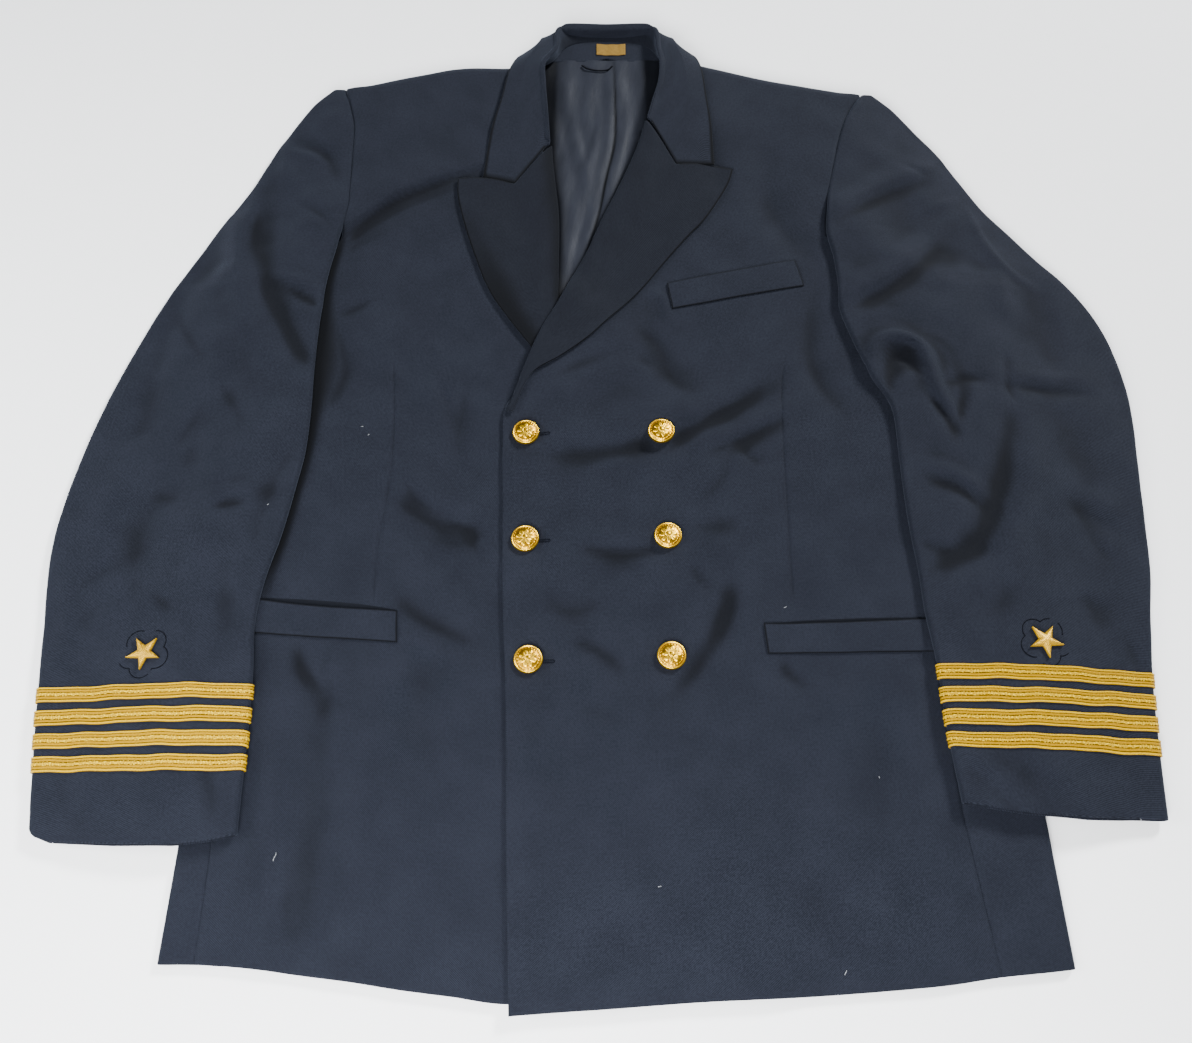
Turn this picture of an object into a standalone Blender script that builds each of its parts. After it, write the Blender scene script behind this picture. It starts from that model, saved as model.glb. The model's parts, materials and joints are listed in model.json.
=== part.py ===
# A naval dress jacket, double-breasted, laid flat on its back with its face up.
# Metres, +Z up and +Y towards the collar; the origin lies on the floor under the middle
# of the outline. The tables are in millimetres, across and up the jacket from a point
# between the two button columns. The wearer's left is at +X.
import math

import bmesh
import bpy
import numpy as np

MM = 0.001
MIDDLE = (9.7, 90.7)        # middle of the whole outline, in the tables' frame
GAP = 0.3                    # between two pieces at a seam
CLOTH = 2.1                  # front: wool with its canvas
BACK_CLOTH = 2.0             # back and side panels, lined
SLEEVE_CLOTH = 1.6
SLEEVE_LOFT = 7.0            # from the underside of a sleeve to its top
LAPEL_CLOTH = 2.2
COLLAR_CLOTH = 2.0
SATIN = 1.0                  # lining seen at the neck
FACING_CLOTH = 1.2
LABEL_CLOTH = 0.7
WELT_CLOTH = 1.6
WELT_GAP = 0.4               # between a welt and its front
BUTTON_GAP = 0.6             # for the shank and thread below a button
LACE = 1.2                   # gold lace braid
LACE_GAP = 0.5               # between a braid and its sleeve
LACE_WIDTH = 12.7
LACE_PITCH = 19.05
BUTTON_WIDTH = 22.2
BUTTON_DEPTH = 6.0
STAR_SPAN = 26.0
NECK_X = 11.0                # middle of the neck
HIDDEN_EDGE = 98.0           # under front's edge, below the upper front
REST = 5.0                   # a sleeve lies flat this far past the body's edge
LIE = 1.9                    # a lapel's loft over its front
LEVEL_AT_HEM = 5.2           # top of a single front above the floor
LEVEL_RISE = 3.0             # more up at the waist
LEVEL_PAD = 5.0              # more still at the shoulder, over its pad
EASE_GAP = 0.6               # between a sleeve and the body that it lies on
SIDE_TURN = 52.0             # a side panel reaches this far under the body
SIDE_HEM = -334.0            # height of the side panels' hem
ARMPIT = 212.0               # height of the side panels' top
COLLAR_RADIUS = 2.6          # of the collar's roll
FACING_LIFT = 1.4            # top of the neck facing above its underside's gap
ROLL = 4.0                   # a front ends this far inside its lapel's rolled edge
SLEEVE_ROWS = 23
FRONT_ROWS = 27
FRONT_COLUMNS = 14


def table(columns, rows):
    """Named columns of a short table, as arrays."""
    return dict(zip(columns.split(), np.array(rows, float).T))


# Where the body ends at each height: side fold up to the armpit, then the armhole seam.
REACH = {
    "right": table("y x", [
        (-336, 297), (-256, 295), (0, 300), (200, 304), (222, 300), (236, 286), (250, 264),
        (272, 244), (300, 229), (335, 228), (371, 230), (408, 231), (434, 236), (468, 243)]),
    "left": table("y x", [
        (-340, 324), (-234, 321), (0, 312), (200, 307), (222, 302), (236, 284), (250, 258),
        (268, 234), (290, 213), (318, 213), (350, 219), (383, 227), (415, 237), (462, 259)]),
}
# Seam between a front and its side panel.
SIDE_SEAM = {
    "right": table("y x", [(-334, 271), (-258, 271), (-100, 274), (100, 278), (236, 278)]),
    "left": table("y x", [(-334, 273), (-285, 267), (-238, 262), (-100, 262), (100, 268), (236, 276)]),
}
HEM = {
    "right": table("x y", [(-98, -346), (20, -352), (59, -357.5), (97, -353), (131, -349), (165, -344), (199, -340),
                           (230, -336), (273, -333), (297, -333)]),
    "left": table("x y", [(-58, -365), (-30, -363), (3, -361), (69, -356.5), (136, -353.5), (203, -349),
                          (237, -346), (273, -341), (305, -338), (324, -336)]),
}
# Front shoulder edge, where the cloth folds over to the back.
SHOULDER = {
    "right": table("x y", [(50, 494), (84, 493), (143, 491), (163, 486), (191, 479), (211, 473), (243, 463)]),
    "left": table("x y", [(60, 499), (99, 498), (112, 494), (131, 488), (175, 475), (204, 468), (259, 456)]),
}
# Inner edge of each front: the hidden edge or the front edge, the roll line, the neck seam.
FRONT_EDGE = {
    "right": table("y x", [
        (-346, -98), (40, -98), (60, -90), (90, -70), (120, -35), (150, -5), (180, 21), (206, 35),
        (287, 36), (350, 39), (378, 43), (392, 58), (455, 62), (494, 64)]),
    "left": table("y x", [
        (-365, -58), (-259, -63), (-152, -67), (-73, -72), (13, -75), (65, -77), (104, -75),
        (124, -65), (141, -58), (168, -50), (186, -42), (208, -31), (268, -6), (304, 7), (336, 21),
        (381, 39), (412, 46), (430, 58), (455, 66), (499, 68)]),
}
# A lapel's roll edge and outer edge, from its peak down; the notch breaks the top row.
LAPEL = {
    "right": table("roll_x roll_y edge_x edge_y", [
        (44, 381, 131, 339), (42, 365, 130, 322), (39, 340, 125, 300), (36, 312, 118, 273),
        (35, 287, 110, 249), (34, 262, 103, 227), (34, 235, 93, 207), (33, 208, 80, 187),
        (22, 184, 66, 166), (9, 164, 53, 147), (-5, 148, 39, 131)]),
    "left": table("roll_x roll_y edge_x edge_y", [
        (47, 419, 125, 348), (40, 392, 121, 334), (30, 362, 112, 313), (17, 329, 101, 293),
        (6, 304, 87, 276), (-7, 268, 64, 247), (-20, 238, 43, 220), (-32, 208, 17, 191),
        (-43, 186, -6, 167), (-52, 165, -30, 147), (-60, 141, -50, 134), (-66, 124, -59, 122),
        (-71, 108, -65, 107), (-75, 96, -69, 94)]),
}
NOTCH = {"right": (77.0, 333.5), "left": (75.0, 356.5)}
# A sleeve's inner and outer edge, from the shoulder tip to the cuff.
SLEEVE = {
    "right": table("inner_x inner_y outer_x outer_y", [
        (243, 459, 259, 466), (237, 438, 278, 437), (231, 410, 294, 408), (229, 375, 308, 374),
        (228, 340, 322, 338), (228, 306, 338, 305), (233, 272, 355, 270), (238, 235, 372, 234),
        (240, 190, 389, 190), (240, 145, 404, 143), (238, 100, 416, 98), (238, 60, 424, 58),
        (243, 20, 430, 16), (249, -20, 432, -24), (257, -58, 429, -60), (260, -92, 424, -94),
        (256, -128, 419, -129), (254, -165, 414, -166), (253, -205, 408, -205), (252, -248, 402, -248)]),
    "left": table("inner_x inner_y outer_x outer_y", [
        (259, 450, 271, 457), (247, 437, 289, 435), (237, 415, 305, 413), (227, 382, 325, 382),
        (219, 349, 341, 348), (213, 318, 357, 316), (209, 285, 379, 284), (213, 258, 397, 258),
        (214, 228, 418, 231), (213, 200, 434, 203), (221, 168, 445, 170), (232, 132, 451, 130),
        (247, 100, 451, 96), (248, 50, 446, 48), (248, 0, 441, -2), (251, -45, 436, -46),
        (252, -85, 427, -88), (255, -125, 419, -130), (256, -170, 413, -174), (260, -227, 407, -238)]),
}
SLEEVE_HEAD = {"right": 300.0, "left": 290.0}    # above it the sleeve meets the armhole seam
# A row for each side of the collar's neck, from the gorge round to the middle of the back.
# Each section runs from the neck seam over the roll and out along the leaf.
COLLAR_COLUMNS = "seam_x seam_y seam_z roll_x roll_y roll_z mid_x mid_y mid_z edge_x edge_y edge_z"
COLLAR_BACK = table(COLLAR_COLUMNS, [
    (52, 500, 13.0, 47, 507, 21.5, 66, 512, 18.0, 84, 510, 7.0),
    (42, 521, 10.0, 41, 530, 18.0, 57, 531, 8.5, 70, 508, 0.6),
    (28, 529, 8.6, 31, 542, 15.5, 38, 532, 1.0, 46, 498, 0.1),
    (0, 531, 8.4, 0, 546, 14.6, 0, 532, 0.2, 0, 494, 0.1),
])
COLLAR_SIDE = {
    "right": table(COLLAR_COLUMNS, [
        (52, 388, 14.2, 45, 382, 16.5, 77, 336, 14.6, 106, 345, 14.6),
        (58, 421, 14.4, 46, 421, 20.5, 74, 407, 17.8, 100, 400, 17.2),
        (60, 455, 14.6, 49, 458, 23.0, 74, 452, 20.0, 92, 442, 18.0),
        (59, 480, 14.0, 49, 487, 23.5, 68, 487, 20.5, 85, 484, 16.5),
    ]),
    "left": table(COLLAR_COLUMNS, [
        (54, 424, 15.6, 48, 420, 18.5, 76, 359, 15.6, 109, 358, 15.6),
        (61, 438, 15.6, 53, 441, 20.5, 86, 417, 18.2, 109, 408, 17.6),
        (66, 458, 15.0, 59, 463, 23.0, 89, 452, 20.0, 107, 446, 18.0),
        (67, 482, 14.0, 61, 488, 23.5, 86, 487, 20.5, 104, 484, 16.5),
    ]),
}
# Largest folds: a bent path from start by bend to end, with a width on its left and on its
# right as it runs, and a height, below zero for a trough.
FOLD_COLUMNS = "x0 y0 x1 y1 x2 y2 left right height"
FRONT_FOLDS = {
    "right": table(FOLD_COLUMNS, [
        (107, 357, 205, 348, 224, 292, 60, 8, 3.0),
        (196, -129, 214, -200, 206, -292, 16, 20, -1.6),
        (226, -255, 228, -310, 229, -340, 9, 9, 1.6),
        (178, -40, 150, -62, 110, -84, 12, 16, -1.2)]),
    "left": table(FOLD_COLUMNS, [
        (-74, 64, 60, 84, 160, 128, 12, 18, -1.6),
        (118, 78, 140, 92, 160, 112, 10, 12, 1.4),
        (-10, -30, 30, -38, 62, -30, 14, 14, -1.2),
        (128, 372, 150, 300, 166, 262, 26, 22, -1.4)]),
}
SLEEVE_FOLDS = {
    "right": table(FOLD_COLUMNS, [
        (318, 266, 300, 226, 296, 180, 12, 16, -2.4),
        (296, 180, 284, 150, 262, 132, 12, 16, -2.2),
        (281, 204, 268, 188, 252, 178, 9, 12, -1.6),
        (332, 298, 336, 270, 348, 216, 14, 18, 2.0),
        (267, 352, 252, 336, 241, 318, 10, 12, -1.6)]),
    "left": table(FOLD_COLUMNS, [
        (218, 286, 262, 318, 322, 340, 14, 12, 2.2),
        (234, 200, 268, 226, 312, 262, 16, 12, 2.4),
        (252, 128, 262, 158, 296, 148, 9, 9, 3.2),
        (296, 148, 320, 122, 330, 92, 12, 14, 2.2),
        (372, 96, 372, 20, 300, -36, 16, 20, -2.4),
        (310, 106, 328, 62, 340, 100, 12, 12, -1.8)]),
}
# Welts lie on a front: corners from the upper inner one, round by the outer ones.
WELTS = {
    "breast_welt": ("left", [(63, 223), (179, 248), (185, 224), (68, 199)]),
    "hip_welt_left": ("left", [(128, -91), (251, -86), (252, -113), (130, -115)]),
    "hip_welt_right": ("right", [(153, -80), (255, -71), (256, -99), (151, -106)]),
}
BUTTONS = table("x y", [(-58, 74), (-56, -22), (-51, -120), (54, 74), (57, -20), (56, -118)])
STARS = {"right": (339.0, -114.0), "left": (336.0, -106.0)}
LACE_TOP = {"right": -136.0, "left": -124.0}     # upper edge of the first braid
LACE_COUNT = 4


def material(name, colour, roughness, metallic=0.0):
    made = bpy.data.materials.new(name)
    made.use_nodes = True
    shader = made.node_tree.nodes["Principled BSDF"]
    shader.inputs["Base Color"].default_value = (*colour, 1.0)
    shader.inputs["Roughness"].default_value = roughness
    shader.inputs["Metallic"].default_value = metallic
    made.diffuse_color = (*colour, 1.0)
    return made


def stacked(data):
    """A table's columns side by side, one row of numbers each."""
    return np.stack(list(data.values()), axis=-1)


def ease(t):
    """A step from 0 to 1 with a soft start and end."""
    t = np.clip(t, 0.0, 1.0)
    return t * t * (3.0 - 2.0 * t)


def smooth_rows(rows, at):
    """Hermite curve through rows of numbers, at places counted in rows."""
    rows = np.asarray(rows, float)
    low = np.clip(np.floor(at).astype(int), 0, len(rows) - 2)
    t = (at - low)[:, None]
    slope = np.gradient(rows, axis=0)
    return ((1 + 2 * t) * (1 - t) ** 2 * rows[low] + t * (1 - t) ** 2 * slope[low]
            + t * t * (3 - 2 * t) * rows[low + 1] + t * t * (t - 1) * slope[low + 1])


def column(data, key, value, at):
    return np.interp(at, data[key], data[value])


def folds(data, x, y):
    """Sum of soft ridges and troughs along bent paths, each tapering towards its ends."""
    total = np.zeros(np.broadcast(x, y).shape)
    t = np.linspace(0.0, 1.0, 25)
    for x0, y0, x1, y1, x2, y2, left, right, height in zip(*data.values()):
        px = (1 - t) ** 2 * x0 + 2 * t * (1 - t) * x1 + t * t * x2
        py = (1 - t) ** 2 * y0 + 2 * t * (1 - t) * y1 + t * t * y2
        dx = x[..., None] - px
        dy = y[..., None] - py
        near = np.argmin(dx * dx + dy * dy, axis=-1)
        nx = np.gradient(px)[near]
        ny = np.gradient(py)[near]
        away_x = np.take_along_axis(dx, near[..., None], -1)[..., 0]
        away_y = np.take_along_axis(dy, near[..., None], -1)[..., 0]
        side = nx * away_y - ny * away_x
        width = np.where(side > 0, left, right)
        taper = np.sin(math.pi * np.clip(0.06 + 0.88 * t[near], 0, 1)) ** 0.6
        total += height * taper * np.exp(-(away_x ** 2 + away_y ** 2) / width ** 2)
    return total


def body_level(y):
    """Top of a single front above the floor, from the hem up to the shoulder."""
    return LEVEL_AT_HEM + LEVEL_RISE * ease((y + 360) / 320) + LEVEL_PAD * ease((y - 250) / 190)


def sleeve_inner(side, y):
    """Inner edge of a sleeve at a height up the jacket."""
    return np.interp(y, SLEEVE[side]["inner_y"][::-1], SLEEVE[side]["inner_x"][::-1])


def front_top(side, x, y):
    """Height of a front's outer face; x counts from the middle towards its own side."""
    covered = ease((x - sleeve_inner(side, y) + 16) / 12) * ease((SLEEVE_HEAD[side] + 20 - y) / 20)
    top = body_level(y) + folds(FRONT_FOLDS[side], x, y) * (1 - covered)
    if side == "right":
        top = top + folds(FRONT_FOLDS["left"], -x, y) * (1 - ease((x - 80) / 30))
        top = top - 1.0 * ease((52 - x) / 30)
    edge = column(SHOULDER[side], "x", "y", x)
    top = top - 7.5 * (1 - np.sqrt(np.clip(1 - np.clip(1 - (edge - y) / 12, 0, 1) ** 2, 0.0, 1)))
    if side == "left":
        step = CLOTH + GAP
        under_front = 1 - ease((x - HIDDEN_EDGE - 16) / 40)
        top = top + step * under_front * (1 - ease((y - 76 - 1.1 * (94 - x)) / 44))
        under_lapel = np.exp(-(((x + 26) / 62) ** 2 + ((y - 168) / 64) ** 2) ** 3)
        top = top + (LAPEL_CLOTH + LIE + 0.5) * under_lapel
    return top


def front_wall(y):
    """Thickness of a front: plain over the breast, with its pad at the shoulder."""
    return np.clip(body_level(y) - LEVEL_AT_HEM - 1, CLOTH, LEVEL_PAD + 1.6)


def sleeve_under(side, x, y):
    """Underside of a sleeve: on the body, then down to the floor, and up on its braids."""
    reach = column(REACH[side], "y", "x", y)
    fall = np.interp(y, [210, 300], [50, 22])
    on_body = (body_level(y) + EASE_GAP) * (1 - ease((x - reach - REST) / fall))
    top = LACE_TOP[side]
    on_body = on_body * ease((SLEEVE_HEAD[side] + 46 - y) / 40)
    return on_body + (LACE + LACE_GAP) * ease((top + 52 - y) / 30)


def sleeve_top(side, x, y):
    """Upper face of a sleeve, without its rounded edges."""
    reach = column(REACH[side], "y", "x", y)
    fall = np.interp(y, [210, 300], [88, 70])
    body = (body_level(y) + EASE_GAP) * (1 - ease((x - reach - REST) / fall))
    arm = body + SLEEVE_LOFT + (LACE + LACE_GAP) * ease((LACE_TOP[side] + 52 - y) / 30)
    head = SLEEVE_LOFT + (body_level(y) + GAP - SLEEVE_LOFT) * (1 - ease((x - reach) / 70))
    share = ease((y - SLEEVE_HEAD[side]) / 70)
    tip = column(SHOULDER[side], "x", "y", x)
    round_tip = 4.0 * (1 - ease((tip + 4 - y) / 26)) * share
    return (1 - share) * arm + share * head - round_tip + folds(SLEEVE_FOLDS[side], x, y)


def grid_normals(points):
    along = np.gradient(points, axis=0)
    across = np.gradient(points, axis=1)
    normal = np.cross(across, along)
    return normal / np.maximum(np.linalg.norm(normal, axis=2, keepdims=True), 1e-9)


def shell(name, outer, wall, stuff, up=True, ring=False, flat=False):
    """Cloth from a grid of outer points: the inner ones lie a wall's thickness behind.
    On a flat panel, behind is straight down."""
    outer = np.asarray(outer, float)
    if ring:
        padded = np.concatenate([outer[:, -1:], outer, outer[:, :1]], axis=1)
        normal = grid_normals(padded)[:, 1:-1]
    else:
        normal = grid_normals(outer)
    high = np.unravel_index(np.argmax(outer[..., 2]), outer.shape[:2])
    if (normal[high][2] > 0) != up:
        normal = -normal
    if flat:
        normal = np.zeros_like(outer) + np.array([0.0, 0.0, 1.0])
    inner = outer - normal * np.broadcast_to(wall, outer.shape[:2])[..., None]
    rows, columns = outer.shape[:2]
    index = np.arange(rows * columns).reshape(rows, columns)
    under = index + rows * columns
    wrap = columns if ring else columns - 1
    faces = []
    for i in range(rows - 1):
        for j in range(wrap):
            k = (j + 1) % columns
            faces.append((index[i, j], index[i, k], index[i + 1, k], index[i + 1, j]))
            faces.append((under[i, j], under[i + 1, j], under[i + 1, k], under[i, k]))
    for j in range(wrap):
        k = (j + 1) % columns
        faces.append((index[0, j], under[0, j], under[0, k], index[0, k]))
        faces.append((index[-1, j], index[-1, k], under[-1, k], under[-1, j]))
    if not ring:
        for i in range(rows - 1):
            faces.append((index[i, 0], index[i + 1, 0], under[i + 1, 0], under[i, 0]))
            faces.append((index[i, -1], under[i, -1], under[i + 1, -1], index[i + 1, -1]))
    return solid(name, np.concatenate([outer.reshape(-1, 3), inner.reshape(-1, 3)]), faces, stuff)


def solid(name, points, faces, stuff):
    """An object from points in the tables' frame, moved over the origin."""
    points = np.array(points, float)
    points[:, :2] -= MIDDLE
    points[:, 2] = np.maximum(points[:, 2], 0.0)
    mesh = bpy.data.meshes.new(name)
    mesh.from_pydata((points * MM).tolist(), [], [tuple(int(v) for v in face) for face in faces])
    work = bmesh.new()
    work.from_mesh(mesh)
    bmesh.ops.recalc_face_normals(work, faces=work.faces)
    work.to_mesh(mesh)
    work.free()
    mesh.materials.append(stuff)
    mesh.shade_smooth()
    mesh.set_sharp_from_angle(angle=math.radians(50))
    made = bpy.data.objects.new(name, mesh)
    bpy.context.scene.collection.objects.link(made)
    return made


def sided(side, points):
    """Points measured towards the wearer's own side, set on that side."""
    points = np.array(points, float)
    if side == "right":
        points[..., 0] *= -1
    return points


def front(side, stuff):
    """A front from hem to shoulder, between its inner edge and the side seam or armhole."""
    hem = HEM[side]
    shoulder = SHOULDER[side]
    shares = np.linspace(0, 1, FRONT_ROWS)
    shares = np.concatenate([shares[:-1] * 0.985, [0.99, 0.995, 1.0]])
    across = np.linspace(0, 1, FRONT_COLUMNS)
    grid = []
    for t in shares:
        inner_y = hem["y"][0] + t * (shoulder["y"][0] - GAP - hem["y"][0])
        outer_y = SIDE_HEM + t * (shoulder["y"][-1] - 2 - SIDE_HEM)
        inner_x = column(FRONT_EDGE[side], "y", "x", inner_y)
        inner_x = inner_x + ROLL * ease((inner_y - 100) / 30) * ease((430 - inner_y) / 20)
        seam = column(SIDE_SEAM[side], "y", "x", outer_y) - GAP
        lowered = outer_y + 16 * ease((SLEEVE_HEAD[side] + 6 - outer_y) / 16)
        arm = column(REACH[side], "y", "x", lowered) - 10 * (lowered - outer_y) / 16
        if outer_y > SLEEVE_HEAD[side] - 8:
            arm = min(arm, sleeve_inner(side, outer_y) - 0.7)
        outer_x = seam if outer_y < ARMPIT + 3 else min(arm, seam)
        x = inner_x + (outer_x - inner_x) * across
        y = inner_y + (outer_y - inner_y) * across
        straight_hem = np.interp(x, [inner_x, outer_x], [hem["y"][0], SIDE_HEM])
        straight_top = np.interp(x, [inner_x, outer_x], [shoulder["y"][0], shoulder["y"][-1]])
        y = y + (column(hem, "x", "y", x) - straight_hem) * (1 - ease(t / 0.15))
        y = y + (column(shoulder, "x", "y", x) - straight_top) * ease((t - 0.85) / 0.15)
        y = np.minimum(y, column(shoulder, "x", "y", x) - GAP)
        grid.append(np.stack([x, y, front_top(side, x, y)], axis=-1))
    grid = np.array(grid)
    wall = np.minimum(front_wall(grid[..., 1]), grid[..., 2] - BACK_CLOTH - GAP)
    return shell("front_" + side, sided(side, grid), wall, stuff, flat=True)


def side_panel(side, stuff):
    """A side panel bent round the body's edge, from the back's seam to the front's."""
    grid = []
    for y in np.linspace(SIDE_HEM, ARMPIT, 14):
        edge = column(REACH[side], "y", "x", min(y, 200.0))
        level = float(body_level(y))
        radius = level / 2
        seam = column(SIDE_SEAM[side], "y", "x", y) + GAP / 2
        under = np.linspace(edge - SIDE_TURN, edge - radius - 1, 3)
        angle = np.linspace(-90, 90, 7)[1:-1] * math.pi / 180
        top = np.linspace(edge - radius - 0.5, seam, 4)
        x = np.concatenate([under, edge - radius + radius * np.cos(angle), top])
        z = np.concatenate([np.zeros(3), radius + radius * np.sin(angle),
                            front_top(side, top, np.full(4, y))])
        grid.append(np.stack([x, np.full(len(x), y), z], axis=-1))
    return shell("side_" + side, sided(side, grid), BACK_CLOTH - 0.2, stuff)


def back_edge(side, y):
    """Outer edge of the back: the side seam under the body, then the back armhole."""
    reach = column(REACH[side], "y", "x", np.minimum(y, 200.0))
    armhole = np.interp(y, [236, 300, 350, 420, 462], [244, 235, 234, 242, 250])
    return np.where(y < 236, reach - SIDE_TURN - 2 * GAP, armhole)


def neck_rise(x, y):
    """The back lifts over the leaf of the collar that lies under it."""
    return 3.0 * ease((y - 448) / 34) * (1 - ease((np.abs(x) - 66) / 26))


def back(side, stuff):
    grid = []
    for t in np.linspace(0, 1, 15):
        start = -338 + t * (528.5 + 338)
        outer_y = -333 + t * ((462 if side == "right" else 455) + 333)
        sign = 1 if side == "left" else -1
        inner = sign * NECK_X + GAP / 2
        outer = back_edge(side, outer_y)
        across = np.linspace(0, 1, 8) ** 0.8
        x = inner + (outer - inner) * across
        y = start + (outer_y - start) * np.clip(across / 0.9, 0, 1) ** 1.4
        away = np.abs(x - sign * NECK_X)
        slope = np.interp(away, [0, 26, 36, 44, 56, 85, 250], [528, 526, 518, 504, 486, 479, 466])
        y = np.minimum(y, slope)
        z = BACK_CLOTH + neck_rise(away, y)
        grid.append(np.stack([x, y, z], axis=-1))
    return shell("back_" + side, sided(side, grid), BACK_CLOTH, stuff)


def lapel(side, stuff):
    """A lapel's facing, turned over its front at the roll line."""
    rows = stacked(LAPEL[side])
    rows = smooth_rows(rows, np.linspace(0, len(rows) - 1, 18))
    across = np.array([0.0, 0.03, 0.09, 0.2, 0.4, 0.7, 1.0])
    grid = []
    notch_x, notch_y = NOTCH[side]
    dip_x = notch_x - (rows[0][0] + 0.4 * (rows[0][2] - rows[0][0]))
    dip_y = notch_y - 0.4 - (rows[0][1] + 0.4 * (rows[0][3] - rows[0][1]))
    tent = np.interp(across, [0, 0.4, 1], [0, 1, 0])
    for number, (roll_x, roll_y, edge_x, edge_y) in enumerate(rows):
        bend = max(0.0, 1 - number / 9.0)
        x = roll_x + (edge_x - roll_x) * across + bend * dip_x * tent
        y = roll_y + (edge_y - roll_y) * across + bend * dip_y * tent
        span = math.hypot(edge_x - roll_x, edge_y - roll_y)
        z = front_top(side, x, y) + LIE + LAPEL_CLOTH
        z = z - 2.4 * (1 - np.sqrt(np.clip(1 - (1 - np.clip(across * span / 5, 0, 1)) ** 2, 0, 1)))
        grid.append(np.stack([x, y, z], axis=-1))
    return shell("lapel_" + side, sided(side, grid), LAPEL_CLOTH, stuff)


def collar_rows():
    """Sections of the collar from the right gorge round the back of the neck to the left one."""
    middle = NECK_X
    right = stacked(COLLAR_SIDE["right"])
    left = stacked(COLLAR_SIDE["left"])
    right[:, 0::3] *= -1
    back_right = stacked(COLLAR_BACK)
    back_left = back_right[-2::-1].copy()
    back_right[:, 0::3] = middle - back_right[:, 0::3]
    back_left[:, 0::3] = middle + back_left[:, 0::3]
    return np.concatenate([right, back_right, back_left, left[::-1]])


def collar(stuff):
    """A band that stands up from the neck seam, rolls over and falls as the leaf."""
    rows = collar_rows()
    rows = smooth_rows(rows, np.linspace(0, len(rows) - 1, 27))
    grid = []
    for row in rows:
        seam, roll, middle, edge = row.reshape(4, 3)
        out = middle - roll
        out[2] = 0
        out = out / np.linalg.norm(out)
        stand = roll - seam
        tall = np.linalg.norm(stand)
        rise = stand / tall
        points = [seam, seam + stand * 0.45]
        centre = roll + (out - rise) * COLLAR_RADIUS
        for angle in np.linspace(0, math.pi, 5):
            points.append(centre + COLLAR_RADIUS * (rise * math.sin(angle) - out * math.cos(angle)))
        turned = points[-1]
        points += [turned + (middle - turned) * 0.5, middle, middle + (edge - middle) * 0.5, edge]
        grid.append(points)
    return shell("collar", grid, COLLAR_CLOTH, stuff)


def neck_lining(stuff):
    """Satin on the inside of the back, seen between the roll edges."""
    grid = []
    for y in np.linspace(168, 505, 14):
        low = np.interp(y, [168, 300, 505], [-62, -62, -44])
        high = np.interp(y, [168, 300, 420, 505], [8, 34, 62, 66])
        x = np.linspace(low, high, 8)
        pleat = 1.3 * np.exp(-((x - np.interp(y, [300, 505], [4, 15])) / 9) ** 2)
        soft = 0.5 * np.sin(x * 0.09 + y * 0.02)
        z = BACK_CLOTH + GAP + SATIN + neck_rise(np.abs(x - NECK_X), np.full(8, y)) + 1.0 + pleat + soft
        grid.append(np.stack([x, np.full(8, y), z], axis=-1))
    return shell("back_lining", grid, SATIN, stuff)


def neck_facing(stuff):
    """Wool on the inside of the back neck, between the lining and the collar."""
    grid = []
    for y in np.linspace(506, 528, 4):
        reach = np.interp(y, [506, 528], [38, 26])
        x = np.linspace(NECK_X - reach, NECK_X + reach, 9)
        z = BACK_CLOTH + neck_rise(np.abs(x - NECK_X), np.full(9, y)) + GAP + FACING_LIFT
        grid.append(np.stack([x, np.full(9, y), z], axis=-1))
    return shell("neck_facing", grid, FACING_CLOTH, stuff)


def label(stuff):
    grid = []
    for y in (509.5, 526.0):
        x = np.linspace(-1, 31, 5)
        z = BACK_CLOTH + neck_rise(np.abs(x - NECK_X), np.full(5, y))
        z = z + 2 * GAP + FACING_LIFT + LABEL_CLOTH
        grid.append(np.stack([x, np.full(5, y), z], axis=-1))
    return shell("neck_label", grid, LABEL_CLOTH, stuff)


def sleeve_section(side, row, runs, arcs=5, tops=7):
    """Outer points of the top sleeve across one section, from its inner to its outer run."""
    inner = np.array(row[:2])
    outer = np.array(row[2:])
    wide = np.linalg.norm(outer - inner)
    step = (outer - inner) / wide

    def over(s):
        return sleeve_top(side, inner[0] + step[0] * s, inner[1] + step[1] * s)

    def below(s):
        return sleeve_under(side, inner[0] + step[0] * s, inner[1] + step[1] * s)

    wrap = 0.45 + 0.55 * float(ease((SLEEVE_HEAD[side] + 34 - inner[1]) / 30))
    first = SLEEVE_LOFT / 2
    radius_in = float(np.clip((over(first) - below(first)) / 2, 1.9, first))
    radius_out = float(np.clip((over(wide - first) - below(wide - first)) / 2, 1.9, first + 1))
    angle = np.radians(np.linspace(90 + 180 * wrap, 90, arcs))
    arc_s = radius_in + radius_in * np.cos(angle)
    arc_z = over(radius_in) - radius_in + radius_in * np.sin(angle)
    run = (1 + (runs - 1) * wrap ** 6) * np.array([1.0, 0.5])
    run_s = arc_s[0] - run * math.sin(angle[0])
    run_z = arc_z[0] + run * math.cos(angle[0])
    if wrap > 0.99:
        run_z = below(run_s)
    top_s = np.linspace(radius_in, wide - radius_out, tops)[1:-1]
    turn = np.radians(np.linspace(90, -90, arcs))
    out_s = wide - radius_out + radius_out * np.cos(turn)
    out_z = over(wide - radius_out) - radius_out + radius_out * np.sin(turn)
    back_s = wide - radius_out - runs * np.array([0.5, 1.0])
    s = np.concatenate([run_s, arc_s, top_s, out_s, back_s])
    z = np.concatenate([run_z, arc_z, over(top_s), out_z, below(back_s)])
    x = inner[0] + step[0] * s
    y = inner[1] + step[1] * s
    return np.stack([x, y, z], axis=-1), (run_s[0], back_s[-1], inner, step)


def sleeve_rows(side, at):
    return smooth_rows(stacked(SLEEVE[side]), at)


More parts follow.
